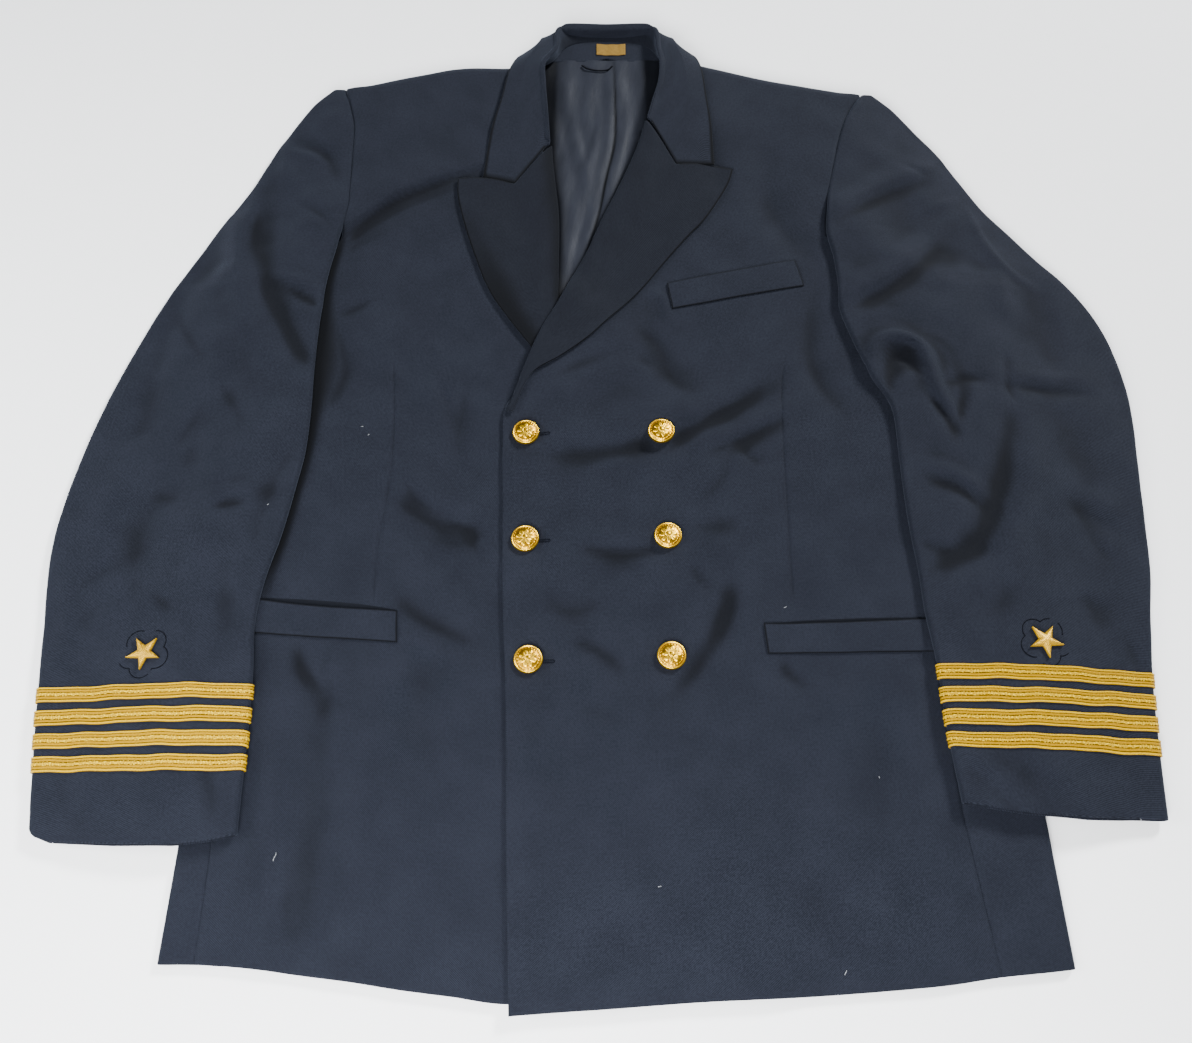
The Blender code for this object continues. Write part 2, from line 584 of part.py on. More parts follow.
def top_sleeve(side, stuff):
    rows = sleeve_rows(side, np.linspace(0, 19, SLEEVE_ROWS))
    grid = [sleeve_section(side, row, np.interp(number, [0, 3], [3, 14]))[0]
            for number, row in enumerate(rows)]
    return shell("topsleeve_" + side, sided(side, grid), SLEEVE_CLOTH, stuff)


def under_sleeve(side, stuff):
    grid = []
    rows = sleeve_rows(side, np.linspace(0, 19, SLEEVE_ROWS))
    for number, row in enumerate(rows):
        first, last, inner, step = sleeve_section(side, row, np.interp(number, [0, 3], [3, 14]))[1]
        if inner[1] > 425:
            continue
        if inner[1] > 240:
            first = max((back_edge(side, inner[1]) - inner[0]) / step[0], first)
        s = np.linspace(first + (GAP if inner[1] < 240 else 2.0), last - GAP, 9)
        x = inner[0] + step[0] * s
        y = inner[1] + step[1] * s
        grid.append(np.stack([x, y, sleeve_under(side, x, y)], axis=-1))
    return shell("undersleeve_" + side, sided(side, grid), SLEEVE_CLOTH, stuff, up=False)


def braid(side, number, stuff):
    """A ring of gold lace round the sleeve, made from its section moved out."""
    rows = sleeve_rows(side, np.linspace(0, 19, 400))
    level = 0.5 * (rows[:, 1] + rows[:, 3])
    top = LACE_TOP[side] - number * LACE_PITCH
    grid = []
    for y in np.linspace(top - LACE_WIDTH, top, 3):
        row = rows[np.argmin(np.abs(level - y))]
        section = sleeve_section(side, row, 14.0)[0]
        first, last = section[0], section[-1]
        bridge = last + (first - last) * np.linspace(0, 1, 9)[1:-1, None]
        bridge[:, 2] = sleeve_under(side, bridge[:, 0], bridge[:, 1])
        grid.append(np.concatenate([section, bridge]))
    grid = np.array(grid)
    padded = np.concatenate([grid[:, -1:], grid, grid[:, :1]], axis=1)
    normal = grid_normals(padded)[:, 1:-1]
    high = np.argmax(grid[1, :, 2])
    if normal[1, high, 2] < 0:
        normal = -normal
    name = "braid_%s_%d" % (side, number + 1)
    return shell(name, sided(side, grid + normal * (LACE_GAP + LACE)), LACE, stuff, ring=True)


def star(side, stuff):
    """A five-pointed star with one point towards the cuff, ridged from its middle."""
    cx, cy = STARS[side]
    turn = math.radians(-90 if side == "right" else -86)
    angle = turn + np.arange(10) * math.pi / 5
    radius = np.where(np.arange(10) % 2 == 0, STAR_SPAN / 2 / 0.95, STAR_SPAN / 2 * 0.4)
    x = np.append(cx + radius * np.cos(angle), cx)
    y = np.append(cy + radius * np.sin(angle), cy)
    base = sleeve_top(side, x, y) + 0.5
    low = np.stack([x, y, base], axis=-1)
    high = low + np.array([0, 0, 1.0])
    high[-1, 2] += 1.6
    faces = []
    for i in range(10):
        k = (i + 1) % 10
        faces += [(i, k, k + 11, i + 11), (k, i, 10), (i + 11, k + 11, 21)]
    return solid("star_" + side, sided(side, np.concatenate([low, high])), faces, stuff)


def welt(name, stuff):
    side, corners = WELTS[name]
    corners = np.array(corners, float)
    across = np.linspace(0, 1, 7)
    grid = []
    for t in np.linspace(0, 1, 3):
        start = corners[3] + (corners[0] - corners[3]) * t
        end = corners[2] + (corners[1] - corners[2]) * t
        line = start + (end - start) * across[:, None]
        z = front_top(side, line[:, 0], line[:, 1]) + WELT_GAP + WELT_CLOTH
        grid.append(np.column_stack([line, z]))
    return shell(name, sided(side, grid), WELT_CLOTH, stuff)


def button(number, x, y, stuff):
    """A domed button on its rim, turned about its own middle."""
    radius = BUTTON_WIDTH / 2
    profile = [(radius * 0.6, 0.0), (radius * 0.94, 0.5), (radius, 1.6), (radius * 0.95, 2.6),
               (radius * 0.86, 2.9), (radius * 0.62, 4.6), (radius * 0.3, 5.7)]
    count = 18
    angle = np.arange(count) * 2 * math.pi / count
    base = float(front_top("left", np.array(x), np.array(y))) + BUTTON_GAP
    if x < 0 and number == 0:
        base += 0.3
    points = [(x + r * math.cos(a), y + r * math.sin(a), base + z) for r, z in profile for a in angle]
    points += [(x, y, base), (x, y, base + BUTTON_DEPTH)]
    faces = []
    for ring in range(len(profile) - 1):
        for i in range(count):
            k = (i + 1) % count
            a = ring * count
            faces.append((a + i, a + k, a + count + k, a + count + i))
    last = (len(profile) - 1) * count
    for i in range(count):
        k = (i + 1) % count
        faces += [(k, i, len(points) - 2), (last + i, last + k, len(points) - 1)]
    return solid("button_%d" % (number + 1), points, faces, stuff)


def main():
    for old in list(bpy.data.objects):
        bpy.data.objects.remove(old, do_unlink=True)
    navy = material("navy_wool", (0.016, 0.020, 0.030), 0.85)
    satin = material("grey_satin", (0.060, 0.066, 0.080), 0.35)
    gold = material("gold_lace", (0.62, 0.42, 0.09), 0.40, 0.6)
    gilt = material("gilt_brass", (0.80, 0.52, 0.12), 0.25, 1.0)
    ochre = material("ochre_weave", (0.25, 0.17, 0.07), 0.80)
    for side in ("right", "left"):
        back(side, navy)
        side_panel(side, navy)
        front(side, navy)
        lapel(side, navy)
        top_sleeve(side, navy)
        under_sleeve(side, navy)
        star(side, gold)
        for number in range(LACE_COUNT):
            braid(side, number, gold)
    collar(navy)
    neck_lining(satin)
    neck_facing(navy)
    label(ochre)
    for name in WELTS:
        welt(name, navy)
    for number, (x, y) in enumerate(zip(BUTTONS["x"], BUTTONS["y"])):
        button(number, x, y, gilt)


main()
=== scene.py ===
import json
import math

import bmesh
import bpy
import numpy as np
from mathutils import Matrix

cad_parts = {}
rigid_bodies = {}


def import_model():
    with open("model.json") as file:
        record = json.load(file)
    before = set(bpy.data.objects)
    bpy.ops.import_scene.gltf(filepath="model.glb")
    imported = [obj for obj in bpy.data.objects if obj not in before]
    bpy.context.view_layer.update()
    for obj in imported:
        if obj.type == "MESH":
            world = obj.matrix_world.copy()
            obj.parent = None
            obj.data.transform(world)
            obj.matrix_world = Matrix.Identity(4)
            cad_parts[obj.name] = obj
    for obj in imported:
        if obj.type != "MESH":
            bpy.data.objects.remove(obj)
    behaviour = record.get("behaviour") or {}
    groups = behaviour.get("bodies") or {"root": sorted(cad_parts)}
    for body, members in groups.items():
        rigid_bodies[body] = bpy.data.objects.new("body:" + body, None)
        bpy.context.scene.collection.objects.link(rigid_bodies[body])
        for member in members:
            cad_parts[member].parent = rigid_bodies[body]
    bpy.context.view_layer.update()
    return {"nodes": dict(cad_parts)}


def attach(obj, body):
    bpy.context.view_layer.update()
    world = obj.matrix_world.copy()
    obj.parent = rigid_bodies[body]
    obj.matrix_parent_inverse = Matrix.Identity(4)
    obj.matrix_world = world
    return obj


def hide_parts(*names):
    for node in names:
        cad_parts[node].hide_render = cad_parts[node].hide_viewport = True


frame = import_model()
print("frame loaded:", len(frame["nodes"]), "nodes")

jacket = {
    "middle": (9.7, 90.7),       # middle of the outline, in the pattern's millimetres
    "millimetre": 0.001,
    "gap": 0.3,                  # between two pieces at a seam
    "frontCloth": 2.1,
    "backCloth": 1.9,
    "lapelCloth": 2.2,
    "lapelLift": 1.9,            # a lapel's loft over its front
    "levelAtHem": 5.2,           # top of a single front above the floor
    "levelRise": 3.0,            # more up at the waist
    "levelPad": 5.0,             # more still over the shoulder pad
    "neckX": 11.0,               # middle of the neck
    "hiddenEdge": 98.0,          # the under front's edge, below the upper front
    "sideHem": -334.0,           # hem of both side panels
    "backTop": 2.0,              # upper face of the back, under what lies in the neck
}
sign = {"right": -1.0, "left": 1.0}      # the wearer's right is at -X


def smooth(t):
    # 3t^2 - 2t^3 between 0 and 1, level outside
    t = np.clip(t, 0.0, 1.0)
    return t * t * (3.0 - 2.0 * t)


def columns(names, rows):
    # named columns of a short table, as arrays
    return dict(zip(names.split(), np.array(rows, float).T))


def curveThrough(at, places, values):
    # cubic through a table's points, each slope taken from the two neighbours
    order = np.argsort(places)
    places, values = np.asarray(places, float)[order], np.asarray(values, float)[order]
    slope = np.gradient(values, places)
    k = np.clip(np.searchsorted(places, at) - 1, 0, len(places) - 2)
    step = places[k + 1] - places[k]
    t = np.clip((at - places[k]) / step, 0.0, 1.0)
    return ((1 + 2 * t) * (1 - t) ** 2 * values[k] + t * (1 - t) ** 2 * step * slope[k]
            + t * t * (3 - 2 * t) * values[k + 1] + t * t * (t - 1) * step * slope[k + 1])


def rowsThrough(rows, at):
    # the same cubic through whole rows of numbers, at places counted in rows
    rows = np.asarray(rows, float)
    low = np.clip(np.floor(at).astype(int), 0, len(rows) - 2)
    t = (at - low)[:, None]
    slope = np.gradient(rows, axis=0)
    return ((1 + 2 * t) * (1 - t) ** 2 * rows[low] + t * (1 - t) ** 2 * slope[low]
            + t * t * (3 - 2 * t) * rows[low + 1] + t * t * (t - 1) * slope[low + 1])


def foldHeights(rows, x, y):
    # sum of ridges and troughs: height * exp(-(distance / width)^1.7) from a bent path, with
    # one width on its left and one on its right, fading towards both ends
    x, y = np.broadcast_arrays(np.asarray(x, float), np.asarray(y, float))
    total = np.zeros(x.shape)
    for path, left, right, height in rows:
        steps = 8 * (len(path) - 1) + 1
        line = rowsThrough(path, np.linspace(0, len(path) - 1, steps))
        reach = 2.4 * max(left, right)
        near = ((x > line[:, 0].min() - reach) & (x < line[:, 0].max() + reach)
                & (y > line[:, 1].min() - reach) & (y < line[:, 1].max() + reach))
        if not near.any():
            continue
        point = np.stack([x[near], y[near]], axis=-1)[:, None]
        along = np.diff(line, axis=0)
        t = ((point - line[:-1]) * along).sum(-1) / (along ** 2).sum(-1)
        t = np.clip(t, 0.0, 1.0)
        away = point - (line[:-1] + t[..., None] * along)
        far = (away ** 2).sum(-1)
        k = np.argmin(far, axis=1)
        pick = np.arange(len(k))
        side = along[k, 0] * away[pick, k, 1] - along[k, 1] * away[pick, k, 0]
        width = np.where(side > 0, left, right)
        share = (k + t[pick, k]) / (steps - 1)
        fade = np.sin(math.pi * (0.04 + 0.92 * share)) ** 0.6
        total[near] += height * fade * np.exp(-(np.sqrt(far[pick, k]) / width) ** 1.7)
    return total


def unevenness(x, y, size, seed):
    # seven sine waves of about one size in random directions, added up to about 1
    chance = np.random.default_rng(seed)
    total = 0.0
    for _ in range(7):
        turn = chance.uniform(0, 2 * math.pi)
        pace = 2 * math.pi / (size * chance.uniform(0.7, 1.7))
        total = total + np.sin((x * math.cos(turn) + y * math.sin(turn)) * pace + chance.uniform(0, 6.3))
    return total / 3.5


# Where the body ends at each height: side fold up to the armpit, then the armhole seam.
reach = {
    "right": columns("y x", [
        (-336, 297), (-256, 295), (0, 300), (200, 304), (222, 300), (236, 286), (250, 264),
        (272, 244), (300, 229), (335, 228), (371, 230), (408, 231), (434, 236), (468, 243)]),
    "left": columns("y x", [
        (-340, 324), (-234, 321), (0, 312), (200, 307), (222, 302), (236, 284), (250, 258),
        (268, 234), (290, 213), (318, 213), (350, 219), (383, 227), (415, 237), (462, 259)]),
}
sideSeam = {
    "right": columns("y x", [(-334, 271), (-258, 271), (-100, 274), (100, 278), (236, 278)]),
    "left": columns("y x", [(-334, 273), (-285, 267), (-238, 262), (-100, 262), (100, 268), (236, 276)]),
}
hem = {
    "right": columns("x y", [
        (-98, -346), (20, -352), (59, -357.5), (97, -353), (131, -349), (165, -344),
        (199, -340), (230, -336), (273, -333), (297, -333)]),
    "left": columns("x y", [
        (-58, -365), (-30, -363), (3, -361), (69, -356.5), (136, -353.5), (203, -349),
        (237, -346), (273, -341), (305, -338), (324, -336)]),
}
shoulder = {
    "right": columns("x y", [
        (50, 494), (84, 493), (143, 491), (163, 486), (191, 479), (211, 473), (243, 463)]),
    "left": columns("x y", [
        (60, 499), (99, 498), (112, 494), (131, 488), (175, 475), (204, 468), (259, 456)]),
}
# Armhole of the back, where the under sleeve starts.
backArmhole = columns("y x", [(236, 244), (300, 235), (350, 234), (420, 242), (462, 250)])
# Inner edge of each front: hidden edge or front edge, roll line, neck seam.
frontEdge = {
    "right": columns("y x", [
        (-346, -98), (40, -98), (60, -90), (90, -70), (120, -35), (150, -5), (180, 21), (206, 35),
        (287, 36), (350, 39), (378, 43), (392, 58), (455, 62), (494, 64)]),
    "left": columns("y x", [
        (-365, -58), (-259, -63), (-152, -67), (-73, -72), (13, -75), (65, -77), (104, -75),
        (124, -65), (141, -58), (168, -50), (186, -42), (208, -31), (268, -6), (304, 7), (336, 21),
        (381, 39), (412, 46), (430, 58), (455, 66), (499, 68)]),
}
sleeveEdges = {
    "right": columns("innerX innerY outerX outerY", [
        (243, 462, 258, 463), (237, 438, 278, 437), (231, 410, 294, 408), (229, 375, 308, 374),
        (228, 340, 322, 338), (228, 306, 338, 305), (233, 272, 355, 270), (238, 235, 372, 234),
        (240, 190, 389, 190), (240, 145, 404, 143), (238, 100, 416, 98), (238, 60, 424, 58),
        (243, 20, 430, 16), (249, -20, 432, -24), (257, -58, 429, -60), (260, -92, 424, -94),
        (256, -128, 419, -129), (254, -165, 414, -166), (253, -205, 408, -205), (252, -248, 402, -248)]),
    "left": columns("innerX innerY outerX outerY", [
        (258, 455, 271, 455), (247, 437, 289, 435), (237, 415, 305, 413), (227, 382, 325, 382),
        (219, 349, 341, 348), (213, 318, 357, 316), (209, 285, 379, 284), (213, 258, 397, 258),
        (214, 228, 418, 231), (213, 200, 434, 203), (221, 168, 445, 170), (232, 132, 451, 130),
        (247, 100, 451, 96), (248, 50, 446, 48), (248, 0, 441, -2), (251, -45, 436, -46),
        (252, -85, 427, -88), (255, -125, 419, -130), (256, -170, 413, -174), (260, -227, 407, -238)]),
}
sleeve = {
    "cloth": 1.6,
    "loft": 7.0,                 # from the underside to the top at the edges
    "crown": {"right": 4.5, "left": 4.0},    # more than that along the middle
    "head": {"right": 300.0, "left": 290.0},    # above it the sleeve meets the armhole seam
    "rest": 5.0,                 # lies flat this far past the body's edge
    "rows": 230,
    "across": 64,
    "runPoints": 8,              # of each run beneath, from an edge to the under sleeve
    "flat": {"top": (0.27, 0.74), "under": (0.20, 0.70)},
}
cuffHem = {    # how far the cuff's hem leaves a straight line, across from the inner edge
    "right": columns("s y", [(0, -1), (0.12, -5), (0.3, -8), (0.6, -7), (0.9, -5), (0.97, -1), (1.0, 4)]),
    "left": columns("s y", [(0, 0), (0.15, -2), (0.3, -4), (0.6, -4), (0.85, -1), (1.0, 0)]),
}
lace = {
    "top": {"right": -141.0, "left": -127.5},    # upper edge of the first braid
    "count": 4,
    "width": 11.4,
    "pitch": {"right": 17.4, "left": 17.0},
    "thick": 1.2,
    "gap": 0.4,
    "above": 52.0,               # the sleeve swells for the lace from this far above it
    "toHem": 78.0,               # the cuff's hem starts to bow this far below its top
    "across": 27,
    "around": 136,
}

# Folds across both fronts: a path, the width on its left, on its right, and the height.
bodyFolds = [
    ([(-104, 366), (-141, 351), (-185, 329), (-217, 302), (-235, 274), (-246, 246)], 3.2, 40, 3.2),
    ([(-112, 356), (-148, 342), (-188, 318), (-213, 292), (-226, 262), (-228, 215)], 15, 5, -1.6),
    ([(-236, 205), (-217, 152), (-217, 125), (-227, 103)], 9, 12, -2.0),
    ([(-227, 198), (-214, 202), (-198, 211)], 5, 8, -1.4),
    ([(-214, -128), (-201, -158), (-197, -205), (-199, -258), (-205, -330)], 20, 24, -2.6),
    ([(-232, -190), (-230, -250), (-226, -305), (-222, -338)], 8, 9, 1.6),
    ([(-172, -140), (-168, -200), (-170, -260), (-172, -330)], 14, 26, 1.6),
    ([(-170, -150), (-176, -230), (-172, -335)], 24, 20, 1.6),
    ([(-73, 60), (-17, 57), (33, 63), (71, 75), (110, 98), (156, 132)], 8, 13, -2.4),
    ([(-40, 78), (30, 84), (84, 100), (128, 130)], 16, 12, 1.6),
    ([(82, 66), (125, 84), (165, 106)], 8, 7, 2.0),
    ([(91, 56), (125, 72), (160, 92)], 6, 10, -1.6),
    ([(-12, -28), (20, -33), (56, -29)], 6, 8, -2.0),
    ([(-30, -12), (20, -18), (70, -12)], 12, 10, 1.0),
    ([(68, -6), (92, -10), (117, -6)], 10, 10, -1.4),
    ([(-40, -75), (-18, -80), (6, -74)], 9, 9, -1.4),
    ([(-20, -105), (0, -112), (24, -130)], 7, 8, -1.5),
    ([(109, -59), (92, -100), (70, -134), (50, -152)], 9, 11, -1.6),
    ([(34, 153), (52, 140), (78, 118)], 9, 9, -1.3),
    ([(-44, 124), (-12, 142), (26, 158)], 8, 8, -1.2),
    ([(-165, 21), (-142, 2), (-110, -11), (-90, -6)], 8, 9, -2.0),
    ([(-146, -15), (-114, -19), (-84, -15)], 7, 8, -1.6),
    ([(-160, 40), (-130, 20), (-95, 12)], 10, 10, 1.2),
    ([(-111, 125), (-114, 90), (-113, 55)], 8, 9, -1.3),
    ([(-156, -69), (-134, -86), (-93, -106)], 9, 9, -1.8),
    ([(-150, -96), (-120, -112), (-92, -128)], 10, 10, 1.0),
    ([(157, 389), (166, 314), (181, 255)], 22, 18, -1.8),
    ([(147, 340), (172, 290), (205, 244)], 14, 16, -1.2),
    ([(194, 225), (186, 170), (190, 130), (209, 97)], 14, 12, -2.4),
    ([(120, -150), (112, -220), (126, -300)], 24, 24, -1.2),
    ([(196, -130), (206, -190), (200, -262)], 18, 20, -1.1),
    ([(20, -180), (10, -250), (16, -330)], 22, 22, 0.9),
    ([(-128, -90), (-128, -150), (-120, -215)], 16, 20, -1.1),
    ([(140, -120), (146, -131), (160, -140)], 5, 6, -1.2),
    ([(-115, -4), (-100, -18), (-91, -39)], 5, 5, -1.2),
    ([(-134, 127), (-126, 108), (-121, 83)], 5, 6, -1.1),
    ([(-161, 41), (-142, 14), (-117, 1)], 6, 6, -1.2),
    ([(-156, 41), (-164, 14), (-165, -13)], 6, 6, 0.9),
    ([(-27, -151), (3, -160), (32, -177)], 9, 9, -0.8),
    ([(-5, 41), (20, 50), (44, 41)], 6, 7, 1.0),
    ([(84, 14), (101, 32), (114, 60)], 7, 7, -1.0),
    ([(97, -39), (103, -72), (96, -105)], 8, 9, -1.0),
    ([(119, 69), (126, 55), (138, 49)], 5, 5, -1.2),
    ([(74, -39), (81, -55), (96, -64)], 6, 6, -0.9),
    ([(3, 127), (29, 138), (54, 136)], 7, 7, 0.9),
    ([(38, 179), (55, 163), (63, 138)], 6, 7, -1.0),
    ([(52, 221), (60, 210), (63, 191)], 4, 5, 1.2),
    ([(90, 422), (109, 372), (116, 306)], 14, 14, -1.0),
    ([(-202, -105), (-192, -151), (-192, -196)], 10, 12, 1.0),
    ([(-228, -108), (-222, -128), (-210, -140)], 5, 6, -1.6),
    ([(-196, -110), (-200, -124), (-206, -134)], 5, 5, 1.2),
]
foldStrength = {"body": 2.0, "sleeve": 1.5}
frontSwells = [    # middle x, y, half width x, y and height of the padded swells
    (-140, 250, 95, 130, 1.6), (128, 262, 90, 120, 1.6),
    (-120, -230, 120, 90, 1.0), (120, -240, 120, 90, 0.8),
]
hiddenLapel = {"x": -26, "y": 168, "halfX": 62, "halfY": 64}    # lifts the front over it
sleeveFolds = {
    "right": [
        ([(-309, 290), (-294, 248), (-285, 215), (-271, 186), (-256, 157), (-236, 136)], 13, 9, -4.0),
        ([(-331, 300), (-318, 250), (-306, 206), (-290, 168), (-262, 130)], 9, 15, 3.0),
        ([(-276, 224), (-257, 210), (-240, 200)], 6, 7, -2.4),
        ([(-290, 236), (-264, 226), (-238, 218)], 7, 7, 1.6),
        ([(-279, 392), (-256, 376), (-240, 346)], 8, 9, -2.4),
        ([(-297, 398), (-291, 364), (-288, 330)], 9, 8, 1.8),
        ([(-317, 335), (-324, 282), (-330, 226)], 10, 12, 2.0),
        ([(-314, 322), (-318, 277), (-320, 236)], 4, 5, 1.3),
        ([(-377, 130), (-378, 99), (-381, 69)], 10, 9, -1.2),
        ([(-364, 190), (-350, 167), (-335, 146)], 5, 6, -1.3),
        ([(-317, 120), (-304, 102), (-290, 79)], 6, 6, -1.2),
        ([(-328, 105), (-335, 83), (-343, 60)], 7, 6, -1.1),
        ([(-307, 13), (-293, 18), (-275, 21)], 5, 5, 1.5),
        ([(-304, 4), (-291, 7), (-277, 8)], 6, 5, -1.6),
        ([(-361, 16), (-347, 14), (-331, 11)], 6, 6, -1.0),
        ([(-405, -65), (-387, -50), (-369, -36)], 7, 8, -1.1),
        ([(-383, -89), (-370, -83), (-359, -84)], 5, 5, 1.2),
        ([(-344, -66), (-333, -75), (-323, -84)], 5, 6, -1.3),
        ([(-288, -39), (-286, -73), (-283, -105)], 10, 8, -1.3),
        ([(-419, -39), (-407, -81), (-404, -121)], 9, 9, 1.0),
        ([(-272, 316), (-254, 303), (-238, 286)], 5, 5, -1.4),
        ([(-287, 382), (-268, 375), (-248, 362)], 5, 5, 1.2),
        ([(-352, 250), (-368, 190), (-380, 120)], 16, 14, -1.6),
        ([(-300, 120), (-330, 60), (-340, -10)], 16, 18, -1.8),
        ([(-268, 96), (-300, 40), (-310, -40)], 12, 12, 1.6),
        ([(-380, 60), (-392, 0), (-388, -60)], 12, 14, 1.3),
        ([(-350, 30), (-362, -30), (-352, -84)], 12, 12, -1.6),
        ([(-248, 60), (-262, 20), (-270, -30)], 8, 9, -1.8),
        ([(-372, -196), (-366, -216), (-352, -236)], 8, 9, 1.4),
        ([(-282, -196), (-276, -214), (-268, -240)], 7, 8, -1.2),
    ],
    "left": [
        ([(342, 314), (350, 277), (365, 244), (386, 226)], 4, 5, 1.3),
        ([(290, 364), (308, 355), (328, 370)], 5, 5, -1.2),
        ([(292, 304), (316, 316), (338, 326)], 5, 5, 1.1),
        ([(371, 258), (360, 220), (358, 177)], 10, 10, 1.0),
        ([(399, 68), (397, 31), (387, -5)], 9, 9, -1.0),
        ([(389, -5), (397, -27), (406, -39)], 6, 6, -1.2),
        ([(304, -39), (312, -65), (308, -89)], 9, 8, -1.0),
        ([(357, -73), (378, -65), (396, -71)], 6, 6, 1.0),
        ([(404, -105), (407, -117), (408, -130)], 4, 5, -1.2),
        ([(212, 300), (259, 336), (322, 366)], 14, 6, 2.8),
        ([(216, 290), (262, 322), (318, 350)], 5, 10, -1.6),
        ([(214, 208), (262, 236), (304, 280)], 16, 6, 3.6),
        ([(222, 196), (266, 222), (308, 262)], 5, 12, -2.4),
        ([(228, 118), (238, 156), (257, 166), (278, 153), (285, 116), (298, 78)], 7, 6, 5.0),
        ([(246, 112), (252, 140), (262, 146), (272, 132)], 6, 6, -3.4),
        ([(296, 119), (312, 124), (330, 123)], 5, 5, -2.0),
        ([(350, 146), (347, 119), (352, 104)], 4, 5, -1.6),
        ([(346, 119), (378, 116), (414, 114)], 5, 6, -2.2),
        ([(352, 130), (382, 129), (418, 128)], 7, 6, 1.2),
        ([(280, 106), (290, 88), (296, 69)], 5, 5, -2.6),
        ([(296, 71), (302, 91), (309, 112)], 5, 5, -2.2),
        ([(345, 95), (330, 41), (314, -1), (293, -30), (256, -50)], 12, 12, -4.0),
        ([(366, 84), (352, 30), (334, -14), (312, -48), (280, -70)], 16, 14, 2.6),
        ([(268, 30), (291, 20), (310, 2)], 6, 6, -2.0),
        ([(266, 42), (290, 34), (312, 16)], 6, 6, 1.6),
        ([(249, -25), (279, -33), (312, -33)], 6, 7, -2.0),
        ([(376, 13), (398, -3), (418, -16)], 8, 8, -1.6),
        ([(384, 30), (404, 14), (424, 2)], 9, 9, 1.2),
        ([(398, 220), (392, 170), (396, 130)], 14, 14, -1.6),
        ([(342, 300), (356, 240), (352, 190)], 14, 18, 2.0),
        ([(264, -190), (291, -212), (307, -232)], 6, 6, 1.8),
        ([(318, -200), (334, -210), (349, -221)], 6, 6, 1.4),
        ([(372, -60), (384, -90), (380, -112)], 12, 12, -1.0),
    ],
}
liningFolds = [
    ([(-30, 470), (-24, 430), (-19, 395), (-10, 362), (-6, 335)], 6, 7, 2.6),
    ([(-14, 455), (-14, 420), (-10, 392), (-8, 372)], 6, 5, -1.8),
    ([(2, 452), (4, 425), (-2, 395), (-8, 366), (-12, 330)], 6, 5, 2.6),
    ([(-34, 440), (-28, 400), (-22, 360)], 5, 5, -1.4),
    ([(18, 500), (19, 450), (18, 400), (9, 350), (3, 312), (-8, 270)], 2.2, 4.0, -2.6),
    ([(12, 498), (13, 450), (12, 405), (4, 356), (-2, 322)], 6, 4, 1.6),
    ([(27, 470), (29, 430), (24, 385), (14, 345)], 5, 6, 2.6),
    ([(38, 480), (40, 440), (33, 400), (22, 362)], 5, 6, -1.6),
    ([(-16, 340), (-20, 310), (-24, 280), (-27, 245)], 5, 6, 1.8),
    ([(-6, 330), (-12, 300), (-18, 270), (-24, 240)], 4, 4, -1.8),
    ([(0, 318), (-4, 300), (-10, 280)], 4, 4, 1.6),
    ([(-30, 330), (-31, 300), (-31, 262)], 4, 4, 1.4),
]


def tableRows(table):
    # a table's rows again, from its named columns
    return np.stack(list(table.values()), axis=-1)


def bodyLevel(y):
    # upper face of one layer of front: low at the hem, higher at the waist and at the pad
    return (jacket["levelAtHem"] + jacket["levelRise"] * smooth((y + 360) / 320)
            + jacket["levelPad"] * smooth((y - 250) / 190))


def sleeveInner(side, y):
    edges = sleeveEdges[side]
    return curveThrough(y, edges["innerY"], edges["innerX"])


def dimples(x, y):
    # the cloth is drawn down 1.3 mm under each button and swells 0.7 mm in a ring round it
    total = 0.0
    for buttonX, buttonY in buttons["places"]:
        far = np.hypot(x - buttonX, (y - buttonY) * 1.3)
        total = total - 1.3 * np.exp(-(far / 17) ** 2) + 0.7 * np.exp(-((far - 30) / 12) ** 2)
    return total


def calmShare(x, y):
    # folds die away under each button
    share = 1.0
    for buttonX, buttonY in buttons["places"]:
        share = share * (1 - 0.85 * np.exp(-(np.hypot(x - buttonX, y - buttonY) / 15) ** 4))
    return share


